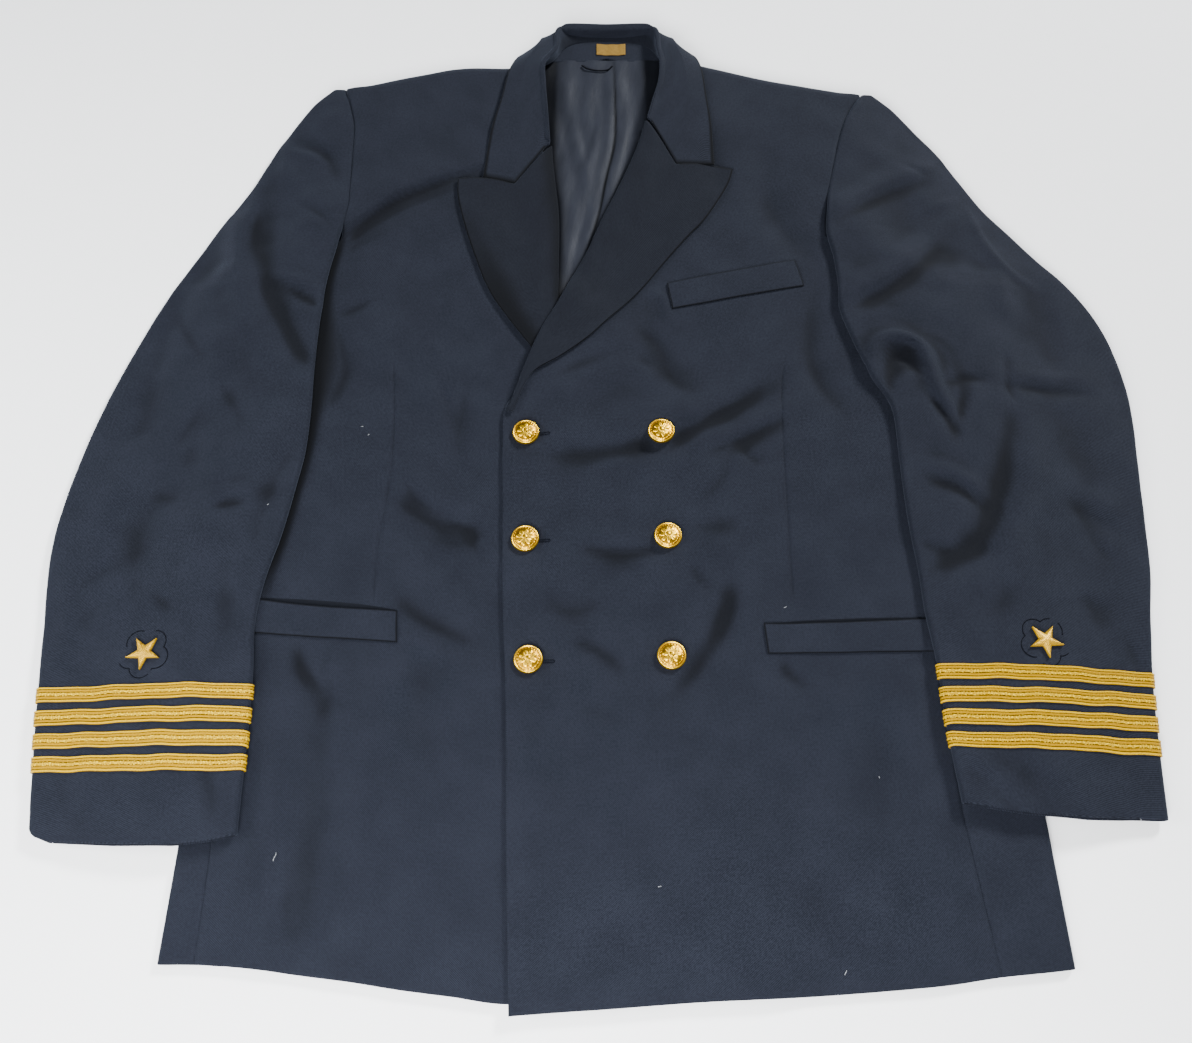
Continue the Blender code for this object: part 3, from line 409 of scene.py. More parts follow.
def frontHeight(side, x, y):
    # the body's level, swells, folds, the shoulder's round edge, and on the upper front the
    # step over the hidden front and the rise over the hidden lapel
    own = x * sign[side]
    covered = smooth((own - sleeveInner(side, y) + 16) / 12) * smooth((sleeve["head"][side] - 5 - y) / 20)
    relief = foldStrength["body"] * foldHeights(bodyFolds, x, y) * calmShare(x, y) + dimples(x, y)
    relief = relief + 0.7 * unevenness(x, y, 120, 3) + 0.35 * unevenness(x, y, 46, 8)
    for middleX, middleY, halfX, halfY, height in frontSwells:
        relief = relief + height * np.exp(-((x - middleX) / halfX) ** 2 - ((y - middleY) / halfY) ** 2)
    low = smooth((y + 345) / 50)
    top = bodyLevel(y) + np.maximum(relief, -4.6) * (1 - covered) * (0.35 + 0.65 * low)
    top = np.maximum(top, 3.6)
    if side == "right":
        top = top - 1.0 * smooth((52 - own) / 30)
    edge = curveThrough(own, shoulder[side]["x"], shoulder[side]["y"])
    drop = 7.5 * (1 - 0.65 * smooth((own - shoulder[side]["x"][-1] + 24) / 20))
    top = top - drop * (1 - np.sqrt(np.clip(1 - np.clip(1 - (edge - y) / 12, 0, 1) ** 2, 0.0, 1)))
    if side == "left":
        step = jacket["frontCloth"] + jacket["gap"]
        under = 1 - smooth((own - jacket["hiddenEdge"] - 16) / 40)
        top = top + step * under * (1 - smooth((y - 76 - 1.1 * (94 - x)) / 44))
        overX = (x - hiddenLapel["x"]) / hiddenLapel["halfX"]
        overY = (y - hiddenLapel["y"]) / hiddenLapel["halfY"]
        over = np.exp(-(overX ** 2 + overY ** 2) ** 3)
        top = top + (jacket["lapelCloth"] + jacket["lapelLift"] + 0.5) * over
        away = x - curveThrough(y, frontEdge["left"]["y"], frontEdge["left"]["x"])
        top = top + 1.2 * np.exp(-(away / 12) ** 2) * smooth((130 - y) / 40)
    return top


def floorShare(side, own, y, near, far):
    # 1 where a sleeve lies on the body, easing to 0 where it lies on the floor
    edge = np.interp(y, reach[side]["y"], reach[side]["x"]) + sleeve["rest"]
    return 1 - smooth((own - edge) / np.interp(y, [210, 300], [near, far]))


def laceShare(side, y):
    # 0 above the lace, 1 from its first braid to the hem, where the sleeve makes room for it
    return smooth((lace["top"][side] + lace["above"] - y) / 30)


def cuffBow(side, share, y):
    # how far the cuff's hem leaves a straight line, easing in below the lace
    bow = np.interp(np.clip(share, 0, 1), cuffHem[side]["s"], cuffHem[side]["y"])
    return bow * smooth((lace["top"][side] - lace["toHem"] - y) / 26)


def sleeveUnder(side, x, y):
    # the body's level where the sleeve lies on it, the floor beside it, and room for the lace
    own = x * sign[side]
    level = (bodyLevel(y) + 0.6) * floorShare(side, own, y, 50, 22)
    level = level * smooth((sleeve["head"][side] + 46 - y) / 40)
    return level + (lace["thick"] + lace["gap"] + 0.1) * laceShare(side, y)


def sleeveTop(side, x, y, share):
    # underside plus loft, a crown across the middle, and the folds; at the head it meets the body
    own = x * sign[side]
    level = (bodyLevel(y) + 0.6) * floorShare(side, own, y, 88, 70)
    arm = level + sleeve["loft"] + (lace["thick"] + lace["gap"]) * laceShare(side, y)
    edge = np.interp(y, reach[side]["y"], reach[side]["x"])
    head = sleeve["loft"] + (bodyLevel(y) + 0.3 - sleeve["loft"]) * (1 - smooth((own - edge) / 70))
    headShare = smooth((y - sleeve["head"][side]) / 70)
    tip = curveThrough(own, shoulder[side]["x"], shoulder[side]["y"])
    roundTip = 2.6 * (1 - smooth((tip + 4 - y) / 26)) * headShare
    crown = sleeve["crown"][side] * (1 - np.abs(2 * share - 1) ** 2.4)
    crown = crown * (0.35 + 0.65 * smooth((y + 250) / 120))
    crown = crown * smooth((450 - y) / 90)
    relief = foldStrength["sleeve"] * foldHeights(sleeveFolds[side], x, y)
    relief = relief + 0.7 * unevenness(x, y, 80, 11) + 0.3 * unevenness(x, y, 36, 12)
    inside = smooth(share / 0.05) * smooth((1 - share) / 0.05)
    relief = relief * (0.45 + 0.55 * inside)
    lowest = -0.55 * sleeve["loft"] - crown * 0.4
    return (1 - headShare) * arm + headShare * head - roundTip + crown + np.maximum(relief, lowest)


def gridNormals(points):
    # unit normals of a grid, from its central differences both ways
    along = np.gradient(points, axis=0)
    across = np.gradient(points, axis=1)
    normal = np.cross(across, along)
    return normal / np.maximum(np.linalg.norm(normal, axis=-1, keepdims=True), 1e-9)


def unit(vectors):
    return vectors / np.maximum(np.linalg.norm(vectors, axis=-1, keepdims=True), 1e-9)


def meshFrom(name, points, quads, stuff, flat=None):
    # a mesh in the row frame from points in the pattern's millimetres, four corners a face
    points = np.array(points, float)
    points[:, :2] -= jacket["middle"]
    points[:, 2] = np.maximum(points[:, 2], 0.0)
    points *= jacket["millimetre"]
    quads = np.ascontiguousarray(quads, dtype=np.int32)
    mesh = bpy.data.meshes.new(name)
    mesh.vertices.add(len(points))
    mesh.vertices.foreach_set("co", points.ravel())
    mesh.loops.add(quads.size)
    mesh.loops.foreach_set("vertex_index", quads.ravel())
    mesh.polygons.add(len(quads))
    mesh.polygons.foreach_set("loop_start", np.arange(0, quads.size, 4, dtype=np.int32))
    mesh.update(calc_edges=True)
    if flat is not None:
        layer = mesh.uv_layers.new(name="cloth")
        layer.data.foreach_set("uv", np.asarray(flat, float)[quads.ravel()].ravel())
    work = bmesh.new()
    work.from_mesh(mesh)
    bmesh.ops.recalc_face_normals(work, faces=work.faces)
    work.to_mesh(mesh)
    work.free()
    mesh.materials.append(stuff)
    mesh.shade_smooth()
    made = bpy.data.objects.new(name, mesh)
    bpy.context.scene.collection.objects.link(made)
    return made


def gridQuads(index):
    # quads of a grid of vertex numbers
    corners = [index[:-1, :-1], index[:-1, 1:], index[1:, 1:], index[1:, :-1]]
    return np.stack(corners, axis=-1).reshape(-1, 4)


def markPoints(made, name, values):
    # one number for each point, which its material reads
    layer = made.data.attributes.new(name, "FLOAT", "POINT")
    layer.data.foreach_set("value", values.ravel().astype(np.float32))


rimTurns = (36, 72, 108, 144)    # degrees round the half circle of a sheet's edge


def roundSheet(values):
    # a grid's values again on its rounded ends, its rims and its back
    rim = len(rimTurns)
    values = np.concatenate([values[:1], values[:1], values, values[-1:], values[-1:]])
    return np.concatenate([values, np.repeat(values[:, -1:], rim, axis=1), values[:, ::-1],
                           np.repeat(values[:, :1], rim, axis=1)], axis=1)


def closedSheet(name, outer, wall, stuff, upwards=True, straightDown=False, crease=None):
    # a closed wall of cloth: outer points, inner points one wall behind them, and half-round
    # edges of five steps all the way round; a marked share of painted shade darkens it, most in its hollows
    outer = np.asarray(outer, float)
    rows, count = outer.shape[:2]
    if straightDown:
        normal = np.zeros_like(outer)
        normal[..., 2] = 1.0
    else:
        normal = gridNormals(outer)
        high = np.unravel_index(np.argmax(outer[..., 2]), (rows, count))
        if (normal[high][2] > 0) != upwards:
            normal = -normal
    wall = np.broadcast_to(wall, (rows, count))[..., None]
    half = normal * wall / 2
    centre = outer - half
    stepU = np.linalg.norm(np.diff(outer, axis=1), axis=-1)
    stepV = np.linalg.norm(np.diff(outer, axis=0), axis=-1)
    u = np.concatenate([np.zeros((rows, 1)), np.cumsum(stepU, axis=1)], axis=1)
    v = np.concatenate([np.zeros((1, count)), np.cumsum(stepV, axis=0)], axis=0)
    flat = np.stack([u - u.mean(axis=1, keepdims=True), v], axis=-1) * jacket["millimetre"]
    ends = []
    for first, second in ((0, 1), (-1, -2)):
        away = unit(centre[first] - centre[second])
        room = 0.45 * np.linalg.norm(centre[first] - centre[second], axis=-1, keepdims=True)
        ends.append(away * np.minimum(wall[first] / 2, room))
    centre[0] -= ends[0]
    centre[-1] -= ends[1]
    centre = np.concatenate([(centre[0] + ends[0])[None], (centre[0] + 0.7 * ends[0])[None], centre,
                             (centre[-1] + 0.7 * ends[1])[None], (centre[-1] + ends[1])[None]])
    half = np.concatenate([0.05 * half[:1], 0.7 * half[:1], half, 0.7 * half[-1:], 0.05 * half[-1:]])
    rims = []
    for first, second in ((-1, -2), (0, 1)):
        away = unit(centre[:, first] - centre[:, second])
        thick = np.linalg.norm(half[:, first], axis=-1, keepdims=True)
        room = 0.45 * np.linalg.norm(centre[:, first] - centre[:, second], axis=-1, keepdims=True)
        out = away * np.minimum(thick, room)
        centre[:, first] -= out
        turns = np.radians(rimTurns if first == -1 else rimTurns[::-1])
        rims.append(np.stack([centre[:, first] + out * math.sin(a) + half[:, first] * math.cos(a)
                              for a in turns], axis=1))
    ring = np.concatenate([centre + half, rims[0], (centre - half)[:, ::-1], rims[1]], axis=1)
    rows, around = ring.shape[:2]
    rim = len(rimTurns)
    index = np.arange(rows * around).reshape(rows, around)
    quads = [gridQuads(np.concatenate([index, index[:, :1]], axis=1))]
    for row in (index[0], index[-1]):
        face = row[:count]
        behind = row[count + rim:2 * count + rim][::-1]
        quads.append(gridQuads(np.stack([face, behind])))
        near = row[count:count + rim]
        far = row[2 * count + rim:]
        quads.append(np.array([[face[-1], near[0], near[3], behind[-1]], near,
                               [face[0], far[3], far[0], behind[0]], far]))
    flat = roundSheet(flat).reshape(-1, 2)
    made = meshFrom(name, ring.reshape(-1, 3), np.concatenate(quads), stuff, flat)
    if crease is not None:
        markPoints(made, "crease", roundSheet(crease))
    return made


def hollowShare(z, reaches=((3, 2.2), (7, 3.4), (14, 7.5))):
    # how far a place lies below the mean of its neighbours some cells away, as a share of the
    # given millimetres: 1 in the foot of a fold, 0 on a swell; it sets the painted shade in the folds
    total = np.zeros_like(z)
    for cells, deepest in reaches:
        padded = np.pad(z, cells, mode="edge")
        middle = slice(cells, -cells)
        around = (padded[:-2 * cells, middle] + padded[2 * cells:, middle]
                  + padded[middle, :-2 * cells] + padded[middle, 2 * cells:]) / 4
        total = np.maximum(total, (around - z) / deepest)
    return smooth(total)


def tube(name, path, radius, stuff, closed=False, around=8):
    # a round thread along a path; its radius is one number or one for each point
    path = np.asarray(path, float)
    tangent = unit(np.gradient(path, axis=0))
    if closed:
        tangent = unit(np.roll(path, -1, axis=0) - np.roll(path, 1, axis=0))
    sideways = unit(np.cross(tangent, np.array([0.0, 0.0, 1.0])))
    above = np.cross(sideways, tangent)
    turn = np.linspace(0, 2 * math.pi, around, endpoint=False)
    radius = np.broadcast_to(radius, len(path))[:, None, None]
    cosine, sine = np.cos(turn)[:, None], np.sin(turn)[:, None]
    ring = path[:, None] + radius * (sideways[:, None] * cosine + above[:, None] * sine)
    index = np.arange(len(path) * around).reshape(len(path), around)
    index = np.concatenate([index, index[:, :1]], axis=1)
    if closed:
        index = np.concatenate([index, index[:1]], axis=0)
        quads = gridQuads(index)
    else:
        caps = []
        for row in (index[0], index[-1]):
            for k in range(around // 2 - 1):
                caps.append([row[k], row[k + 1], row[around - 2 - k], row[around - 1 - k]])
        quads = np.concatenate([gridQuads(index), np.array(caps)])
    return meshFrom(name, ring.reshape(-1, 3), quads, stuff)


def joined(name, pieces):
    # several meshes joined into the first one
    for piece in bpy.context.view_layer.objects:
        piece.select_set(False)
    for piece in pieces:
        piece.select_set(True)
    bpy.context.view_layer.objects.active = pieces[0]
    bpy.ops.object.join()
    pieces[0].name = name
    return pieces[0]


def settle(piece, nodes=()):
    # rides on the one body and stands for its nodes, which it hides
    if nodes:
        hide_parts(*nodes)
    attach(piece, "root")


def layCloth(name, grid, wall, stuff, slot, node, flat, restsOn=(), **form):
    # one sheet of cloth on its grid, in the place of its solid
    piece = closedSheet(name, grid, wall, stuff, **form)
    settle(piece, [node])


def newMaterial(name, settings):
    # a Principled material and its node tree; settings go on the shader's own sockets
    made = bpy.data.materials.new(name)
    made.use_nodes = True
    tree = made.node_tree
    shader = tree.nodes["Principled BSDF"]
    for socket, value in settings.items():
        shader.inputs[socket].default_value = (*value, 1.0) if isinstance(value, tuple) else value
    return made, tree, shader


def addNode(tree, kind, inputs=None, **settings):
    node = tree.nodes.new("ShaderNode" + kind)
    for name, value in settings.items():
        setattr(node, name, value)
    for socket, value in (inputs or {}).items():
        if isinstance(value, bpy.types.NodeSocket):
            tree.links.new(value, node.inputs[socket])
        else:
            node.inputs[socket].default_value = value
    return node


def clothMap(tree):
    # the cloth's own flat map, in metres along and across it
    return addNode(tree, "UVMap", uv_map="cloth").outputs[0]


def pointShare(tree, name):
    # a number that was marked on the points
    return addNode(tree, "Attribute", attribute_name=name).outputs["Fac"]


def addBump(tree, shader, height, strength, distance):
    bump = addNode(tree, "Bump", {"Strength": strength, "Distance": distance, "Height": height})
    tree.links.new(bump.outputs["Normal"], shader.inputs["Normal"])


def mixed(tree, share, low, high):
    # colour between low and high by share
    node = addNode(tree, "Mix", {0: share}, data_type="RGBA")
    for socket, value in ((6, low), (7, high)):
        if isinstance(value, bpy.types.NodeSocket):
            tree.links.new(value, node.inputs[socket])
        else:
            node.inputs[socket].default_value = (*value, 1.0)
    return node.outputs[2]


def paint(tree, shader, share, low, high):
    # the surface's colour runs from low to high by share
    tree.links.new(mixed(tree, share, low, high), shader.inputs["Base Color"])


wool = {
    "dark": (0.0028, 0.0037, 0.0066),
    "light": (0.0108, 0.0127, 0.0196),
    "lapelShade": 0.70,          # the lapels' cloth is painted darker by this share, as shade
    "hollowShare": 0.18,         # of the dark colour, painted as shade in the foot of a fold
    "twillPitch": 0.0011,        # metres between two diagonal ribs
    "twillSlant": 52.0,
    "grain": 1500.0,
    "fibre": 520.0,
    "nap": 26.0,
}


def woolMaterial(name, dark, light, roughness=0.9, sheen=0.05):
    # diagonal twill ribs and fibre grain on the cloth's own flat map, with a soft uneven nap
    made, tree, shader = newMaterial(name, {
        "Roughness": roughness, "Sheen Weight": sheen, "Sheen Roughness": 0.42,
        "Sheen Tint": (0.60, 0.72, 1.0), "Specular IOR Level": 0.10})
    flat = clothMap(tree)
    slant = (0, 0, math.radians(wool["twillSlant"]))
    turned = addNode(tree, "Mapping", {"Vector": flat, "Rotation": slant}).outputs[0]
    twill = addNode(tree, "TexWave", {
        "Vector": turned, "Scale": 0.314 / wool["twillPitch"], "Distortion": 0.8, "Detail": 1.0,
        "Detail Scale": 1.5}).outputs["Fac"]
    grain = addNode(tree, "TexNoise", {"Vector": flat, "Scale": wool["grain"], "Detail": 3.0})
    grain = grain.outputs["Fac"]
    nap = addNode(tree, "TexNoise", {
        "Vector": flat, "Scale": wool["nap"], "Detail": 4.0, "Roughness": 0.6}).outputs["Fac"]
    weave = addNode(tree, "Math", {0: twill, 1: grain}, operation="ADD").outputs[0]
    fibre = addNode(tree, "TexNoise", {"Vector": flat, "Scale": wool["fibre"], "Detail": 2.0})
    fibre = fibre.outputs["Fac"]
    share = addNode(tree, "Math", {0: weave, 1: nap}, operation="ADD").outputs[0]
    share = addNode(tree, "Math", {0: fibre, 1: 1.6, 2: share}, operation="MULTIPLY_ADD").outputs[0]
    share = addNode(tree, "MapRange", {"Value": share, "From Min": 1.7, "From Max": 2.9}).outputs[0]
    deep = tuple(wool["hollowShare"] * part for part in dark)
    # painted shade: the marked share darkens the colour towards deep
    paint(tree, shader, pointShare(tree, "crease"), mixed(tree, share, dark, light), deep)
    addBump(tree, shader, weave, 0.35, 0.0003)
    return made


satin = {
    "dark": (0.0095, 0.0107, 0.0152),
    "light": (0.0185, 0.0207, 0.0285),
    # colour of the painted shade in the lining's hollows
    "hollowShade": (0.0004, 0.0006, 0.0012),
    "crinkle": 130.0,
    "weave": 480.0,
}


def satinMaterial():
    # long crinkles along the lining over a fine weave, painted lighter where they rise as sheen and dark in
    # the hollows as painted shade
    made, tree, shader = newMaterial("greySatin", {
        "Roughness": 0.48, "Specular IOR Level": 0.10, "Sheen Weight": 0.05, "Sheen Roughness": 0.3,
        "Sheen Tint": (0.8, 0.86, 1.0)})
    flat = clothMap(tree)
    stretched = addNode(tree, "Mapping", {"Vector": flat, "Scale": (1.0, 0.28, 1.0)}).outputs[0]
    crinkle = addNode(tree, "TexNoise", {
        "Vector": stretched, "Scale": satin["crinkle"], "Detail": 3.0}).outputs["Fac"]
    weave = addNode(tree, "TexWave", {
        "Vector": flat, "Scale": satin["weave"], "Distortion": 0.6}).outputs["Fac"]
    # painted sheen: the colour is lighter where the crinkle noise raises the bump
    colour = mixed(tree, crinkle, satin["dark"], satin["light"])
    paint(tree, shader, pointShare(tree, "crease"), colour, satin["hollowShade"])
    height = addNode(tree, "Math", {0: weave, 1: 0.10, 2: crinkle}, operation="MULTIPLY_ADD").outputs[0]
    addBump(tree, shader, height, 0.30, 0.0012)
    return made


# gold of the lace; edge, groove, seam and rib are painted shade in its hollows, side and bandSide painted
# shade on its slopes, fleck a painted glint
laceColours = {
    "edge": (0.15, 0.07, 0.0), "cord": (0.66, 0.405, 0.003), "side": (0.54, 0.315, 0.001),
    "groove": (0.04, 0.016, 0.0), "band": (0.39, 0.215, 0.0), "bandSide": (0.33, 0.17, 0.0),
    "seam": (0.015, 0.006, 0.0), "middle": (0.50, 0.30, 0.001), "rib": (0.10, 0.04, 0.0),
    "fleck": (0.95, 0.65, 0.03),
}
laceHalf = [    # where each colour stands, across from the edge to the middle
    (0.0, "edge"), (0.04, "cord"), (0.12, "side"), (0.15, "groove"), (0.19, "groove"), (0.22, "band"),
    (0.34, "bandSide"), (0.36, "seam"), (0.40, "seam"), (0.42, "band"),
]
laceOtherHalf = [
    (0.58, "band"), (0.60, "seam"), (0.64, "seam"), (0.66, "bandSide"), (0.78, "band"),
    (0.81, "groove"), (0.85, "groove"), (0.88, "side"), (0.96, "cord"), (1.0, "edge"),
]


def laceMaterial():
    # bands across the braid by colour and groove, with painted shade in the grooves and between the metal
    # ribs along it, and bright flecks as painted glints
    made, tree, shader = newMaterial("goldLace", {
        "Metallic": 0.10, "Roughness": 0.42, "Specular IOR Level": 0.12,
        "Specular Tint": (1.0, 0.60, 0.05)})
    flat = clothMap(tree)
    split = addNode(tree, "SeparateXYZ", {0: flat})
    ramp = addNode(tree, "ValToRGB", {"Fac": split.outputs["Y"]})
    stops = laceHalf + [(0.50, "middle")] + laceOtherHalf
    while len(ramp.color_ramp.elements) < len(stops):
        ramp.color_ramp.elements.new(1.0)
    for element, (place, colour) in zip(ramp.color_ramp.elements, stops):
        element.position = place
        element.color = (*laceColours[colour], 1.0)
    scaled = addNode(tree, "Mapping", {"Vector": flat, "Scale": (1.0, 0.0127, 1.0)}).outputs[0]
    slant = (0, 0, math.radians(20))
    turned = addNode(tree, "Mapping", {"Vector": scaled, "Rotation": slant}).outputs[0]
    ribs = addNode(tree, "TexWave", {
        "Vector": turned, "Scale": 330.0, "Distortion": 1.5, "Detail": 1.0,
        "Detail Scale": 3.0}).outputs["Fac"]
    fleck = addNode(tree, "TexNoise", {"Vector": scaled, "Scale": 900.0, "Detail": 2.0}).outputs["Fac"]
    fromMiddle = addNode(tree, "Math", {0: split.outputs["Y"], 1: 0.5}, operation="SUBTRACT").outputs[0]
    fromMiddle = addNode(tree, "Math", {0: fromMiddle}, operation="ABSOLUTE").outputs[0]
    inMiddle = addNode(tree, "MapRange", {
        "Value": fromMiddle, "From Min": 0.09, "From Max": 0.15, "To Min": 1.0,
        "To Max": 0.12}).outputs[0]
    # painted glints along the middle band
    bright = addNode(tree, "MapRange", {"Value": fleck, "From Min": 0.50, "From Max": 0.66}).outputs[0]
    bright = addNode(tree, "Math", {0: bright, 1: inMiddle}, operation="MULTIPLY").outputs[0]
    # painted shade between the ribs
    shade = addNode(tree, "MapRange", {"Value": ribs, "To Min": 0.42, "To Max": 0.0}).outputs[0]
    colour = mixed(tree, shade, ramp.outputs["Color"], laceColours["rib"])
    bright = addNode(tree, "Math", {0: bright, 1: 0.8}, operation="MULTIPLY").outputs[0]
    paint(tree, shader, bright, colour, laceColours["fleck"])
    height = addNode(tree, "Math", {0: fleck, 1: 1.4, 2: ribs}, operation="MULTIPLY_ADD").outputs[0]
    addBump(tree, shader, height, 0.7, 0.0004)
    return made


def threadMaterial(name, dark, light, metallic, roughness, pitch, specular):
    # tight windings across a thread, on Object coordinates, painted darker between the windings as shade
    made, tree, shader = newMaterial(name, {
        "Metallic": metallic, "Roughness": roughness, "Specular IOR Level": specular})
    place = addNode(tree, "TexCoord").outputs["Object"]
    winding = {"Vector": place, "Scale": 0.314 / pitch, "Distortion": 2.0, "Detail": 1.0}
    wind = addNode(tree, "TexWave", winding, bands_direction="DIAGONAL").outputs["Fac"]
    paint(tree, shader, wind, dark, light)
    addBump(tree, shader, wind, 0.5, 0.0002)
    return made


def giltMaterial():
    # gilt, painted darker in the hollows of its relief as shade, and small scratches
    made, tree, shader = newMaterial("giltBrass", {"Metallic": 1.0})
    relief = pointShare(tree, "relief")
    place = addNode(tree, "TexCoord").outputs["Object"]
    dull = addNode(tree, "TexNoise", {"Vector": place, "Scale": 900.0, "Detail": 3.0}).outputs["Fac"]
    paint(tree, shader, relief, (0.34, 0.15, 0.002), (0.93, 0.57, 0.022))
    rough = addNode(tree, "MapRange", {
        "Value": dull, "From Min": 0.3, "From Max": 0.7, "To Min": 0.30, "To Max": 0.44}).outputs[0]
    tree.links.new(rough, shader.inputs["Roughness"])
    addBump(tree, shader, dull, 0.12, 0.0002)
    return made


def labelMaterial():
    # bare woven label: weft ribs broken up by small light and dark patches
    made, tree, shader = newMaterial("ochreWeave", {"Roughness": 0.8, "Specular IOR Level": 0.1})
    flat = clothMap(tree)
    weft = addNode(tree, "TexWave", {"Vector": flat, "Scale": 420.0, "Distortion": 0.4},
                   bands_direction="Y").outputs["Fac"]
    patch = addNode(tree, "TexNoise", {"Vector": flat, "Scale": 300.0, "Detail": 2.0}).outputs["Fac"]
    share = addNode(tree, "Math", {0: weft, 1: patch}, operation="MULTIPLY").outputs[0]
    paint(tree, shader, share, (0.12, 0.066, 0.012), (0.31, 0.19, 0.042))
    addBump(tree, shader, weft, 0.4, 0.0003)
    return made


navyWool = woolMaterial("navyWool", wool["dark"], wool["light"])
# a darker copy of the wool for the lapels: painted shade
shadedLapelWool = woolMaterial("shadedLapelWool", *[tuple(wool["lapelShade"] * part for part in wool[tone])
                                        for tone in ("dark", "light")], sheen=0.03)
# near-black wool for the painted shade in the pockets' mouths
shadeWool = woolMaterial("pocketShade", (0.002, 0.0025, 0.004), (0.004, 0.005, 0.008), 0.95, 0.0)
greySatin = satinMaterial()
goldLace = laceMaterial()
threadLooks = {    # dark colour (the painted shade between windings) and light colour, metallic, roughness, pitch in metres and specular level
    "goldThread": ((0.24, 0.11, 0.0), (0.68, 0.41, 0.006), 0.45, 0.36, 0.0008, 0.5),
    "darkThread": ((0.0008, 0.001, 0.0018), (0.0025, 0.003, 0.0045), 0.0, 0.9, 0.0006, 0.04),
    "navyThread": ((0.0015, 0.002, 0.0034), (0.005, 0.006, 0.010), 0.0, 0.9, 0.0006, 0.04),
    "paleFibre": ((0.10, 0.11, 0.12), (0.24, 0.24, 0.25), 0.0, 0.8, 0.0010, 0.5),
}
goldThread, darkThread, navyThread, paleFibre = [
    threadMaterial(name, *values) for name, values in threadLooks.items()]
giltBrass = giltMaterial()
ochreWeave = labelMaterial()
print("materials made")

buttons = {
    "places": [(-58, 76), (-56, -21), (-51, -120), (54, 77), (57, -18), (57, -117)],
    "width": 22.2,
    "rings": 44,
    "spokes": 116,
    "rim": 2.6,                  # height of the rim, and of the dome above it
    "dome": 3.0,
    "domeEdge": 0.86,            # as a share of the radius
    "petals": 8,
    "beads": 24,
}

front = {
    "rows": 252,
    "topRows": 10,               # of them, close together at the shoulder
    "pace": columns("row height", [(0, 0), (0.30, 0.39), (0.88, 0.86), (1, 0.984)]),
    "columns": {"right": (92, 50), "left": (90, 50)},    # inside and outside the dart
    "seamTop": 215.0,            # the side seam ends and the armhole starts
    "dartStrip": 3.2,            # half the width of the fine columns along a dart
    "dartColumns": (-1.6, -0.7, 0.0, 0.7, 1.6),
    "tuck": 2.4,                 # the last column turns in this far past the seam
    "darts": {    # a dart's path up the front, in the wearer's own direction
        "right": columns("y x", [(-77, 173), (-18, 172), (37, 168), (106, 170), (159, 175)]),
        "left": columns("y x", [(-77, 153), (-44, 153), (9, 154), (65, 155), (125, 158), (159, 163)]),
    },
    "dartDepth": 1.3,
    "rollInset": 4.0,            # a front ends this far inside its lapel's rolled edge
    "flat": {"right": (0.42, 0.87), "left": (0.40, 0.90)},
}


def frontGrid(side):
    # rows from hem to shoulder between the inner edge and the side seam or armhole; a few
    # columns follow the dart, where the cloth dips into its seam
    hemLine, top = hem[side], shoulder[side]
    sideHem, strip = jacket["sideHem"], front["dartStrip"]
    evenly = np.linspace(0, 1, front["rows"] - front["topRows"])
    share = np.interp(evenly, front["pace"]["row"], front["pace"]["height"])
    share = np.concatenate([share, np.linspace(0.9855, 1.0, front["topRows"])])
    inside, outside = front["columns"][side]
    innerY = hemLine["y"][0] + share * (top["y"][0] - jacket["gap"] - hemLine["y"][0])
    outerY = sideHem + share * (top["y"][-1] - 2 - sideHem)
    innerX = curveThrough(innerY, frontEdge[side]["y"], frontEdge[side]["x"])
    innerX = innerX + front["rollInset"] * smooth((innerY - 100) / 30) * smooth((430 - innerY) / 20)
    seam = curveThrough(outerY, sideSeam[side]["y"], sideSeam[side]["x"]) - jacket["gap"]
    head = sleeve["head"][side]
    lowered = outerY + 16 * smooth((head + 6 - outerY) / 16)
    arm = np.interp(lowered, reach[side]["y"], reach[side]["x"])
    arm = np.where(outerY > head - 8, np.minimum(arm, sleeveInner(side, outerY) - 0.7), arm)
    outerX = np.where(outerY < front["seamTop"], seam, np.minimum(arm, seam))
    dart = front["darts"][side]
    dartY = innerY + (outerY - innerY) * 0.6
    dartX = curveThrough(dartY, dart["y"], dart["x"])
    quarter = 0.58 if side == "right" else 0.25    # the right front is coarse where it is hidden
    spread = np.interp(np.linspace(0, 1, inside), [0, 0.25, 1], [0, quarter, 1])
    left = innerX[:, None] + (dartX - strip - innerX)[:, None] * spread
    middle = dartX[:, None] + np.array(front["dartColumns"])
    right = (dartX + strip)[:, None] + (outerX - dartX - strip)[:, None] * np.linspace(0, 1, outside)
    tucked = (outerX + front["tuck"])[:, None]
    x = np.concatenate([left, middle, right, tucked], axis=1)
    across = (x - innerX[:, None]) / (outerX - innerX)[:, None]
    y = innerY[:, None] + (outerY - innerY)[:, None] * across
    straightHem = hemLine["y"][0] + (sideHem - hemLine["y"][0]) * across
    straightTop = top["y"][0] + (top["y"][-1] - top["y"][0]) * across
    curved = curveThrough(x, hemLine["x"], hemLine["y"])
    y = y + (curved - straightHem) * (1 - smooth(share / 0.15))[:, None]
    edge = curveThrough(x, top["x"], top["y"])
    y = y + (edge - straightTop) * smooth((share - 0.85) / 0.15)[:, None]
    y = np.minimum(y, edge - jacket["gap"])
    z = frontHeight(side, x * sign[side], y)
    dip = np.exp(-(np.abs(x - dartX[:, None]) / 1.1) ** 1.5) * smooth((y - dart["y"][0]) / 20)
    z = z - front["dartDepth"] * dip * smooth((dart["y"][-1] - y) / 26)
    z[:, -1] = np.maximum(z[:, -1] - 3.2 + 2.8 * smooth((outerY - top["y"][-1] + 26) / 22), 3.0)
    return np.stack([x * sign[side], y, z], axis=-1)


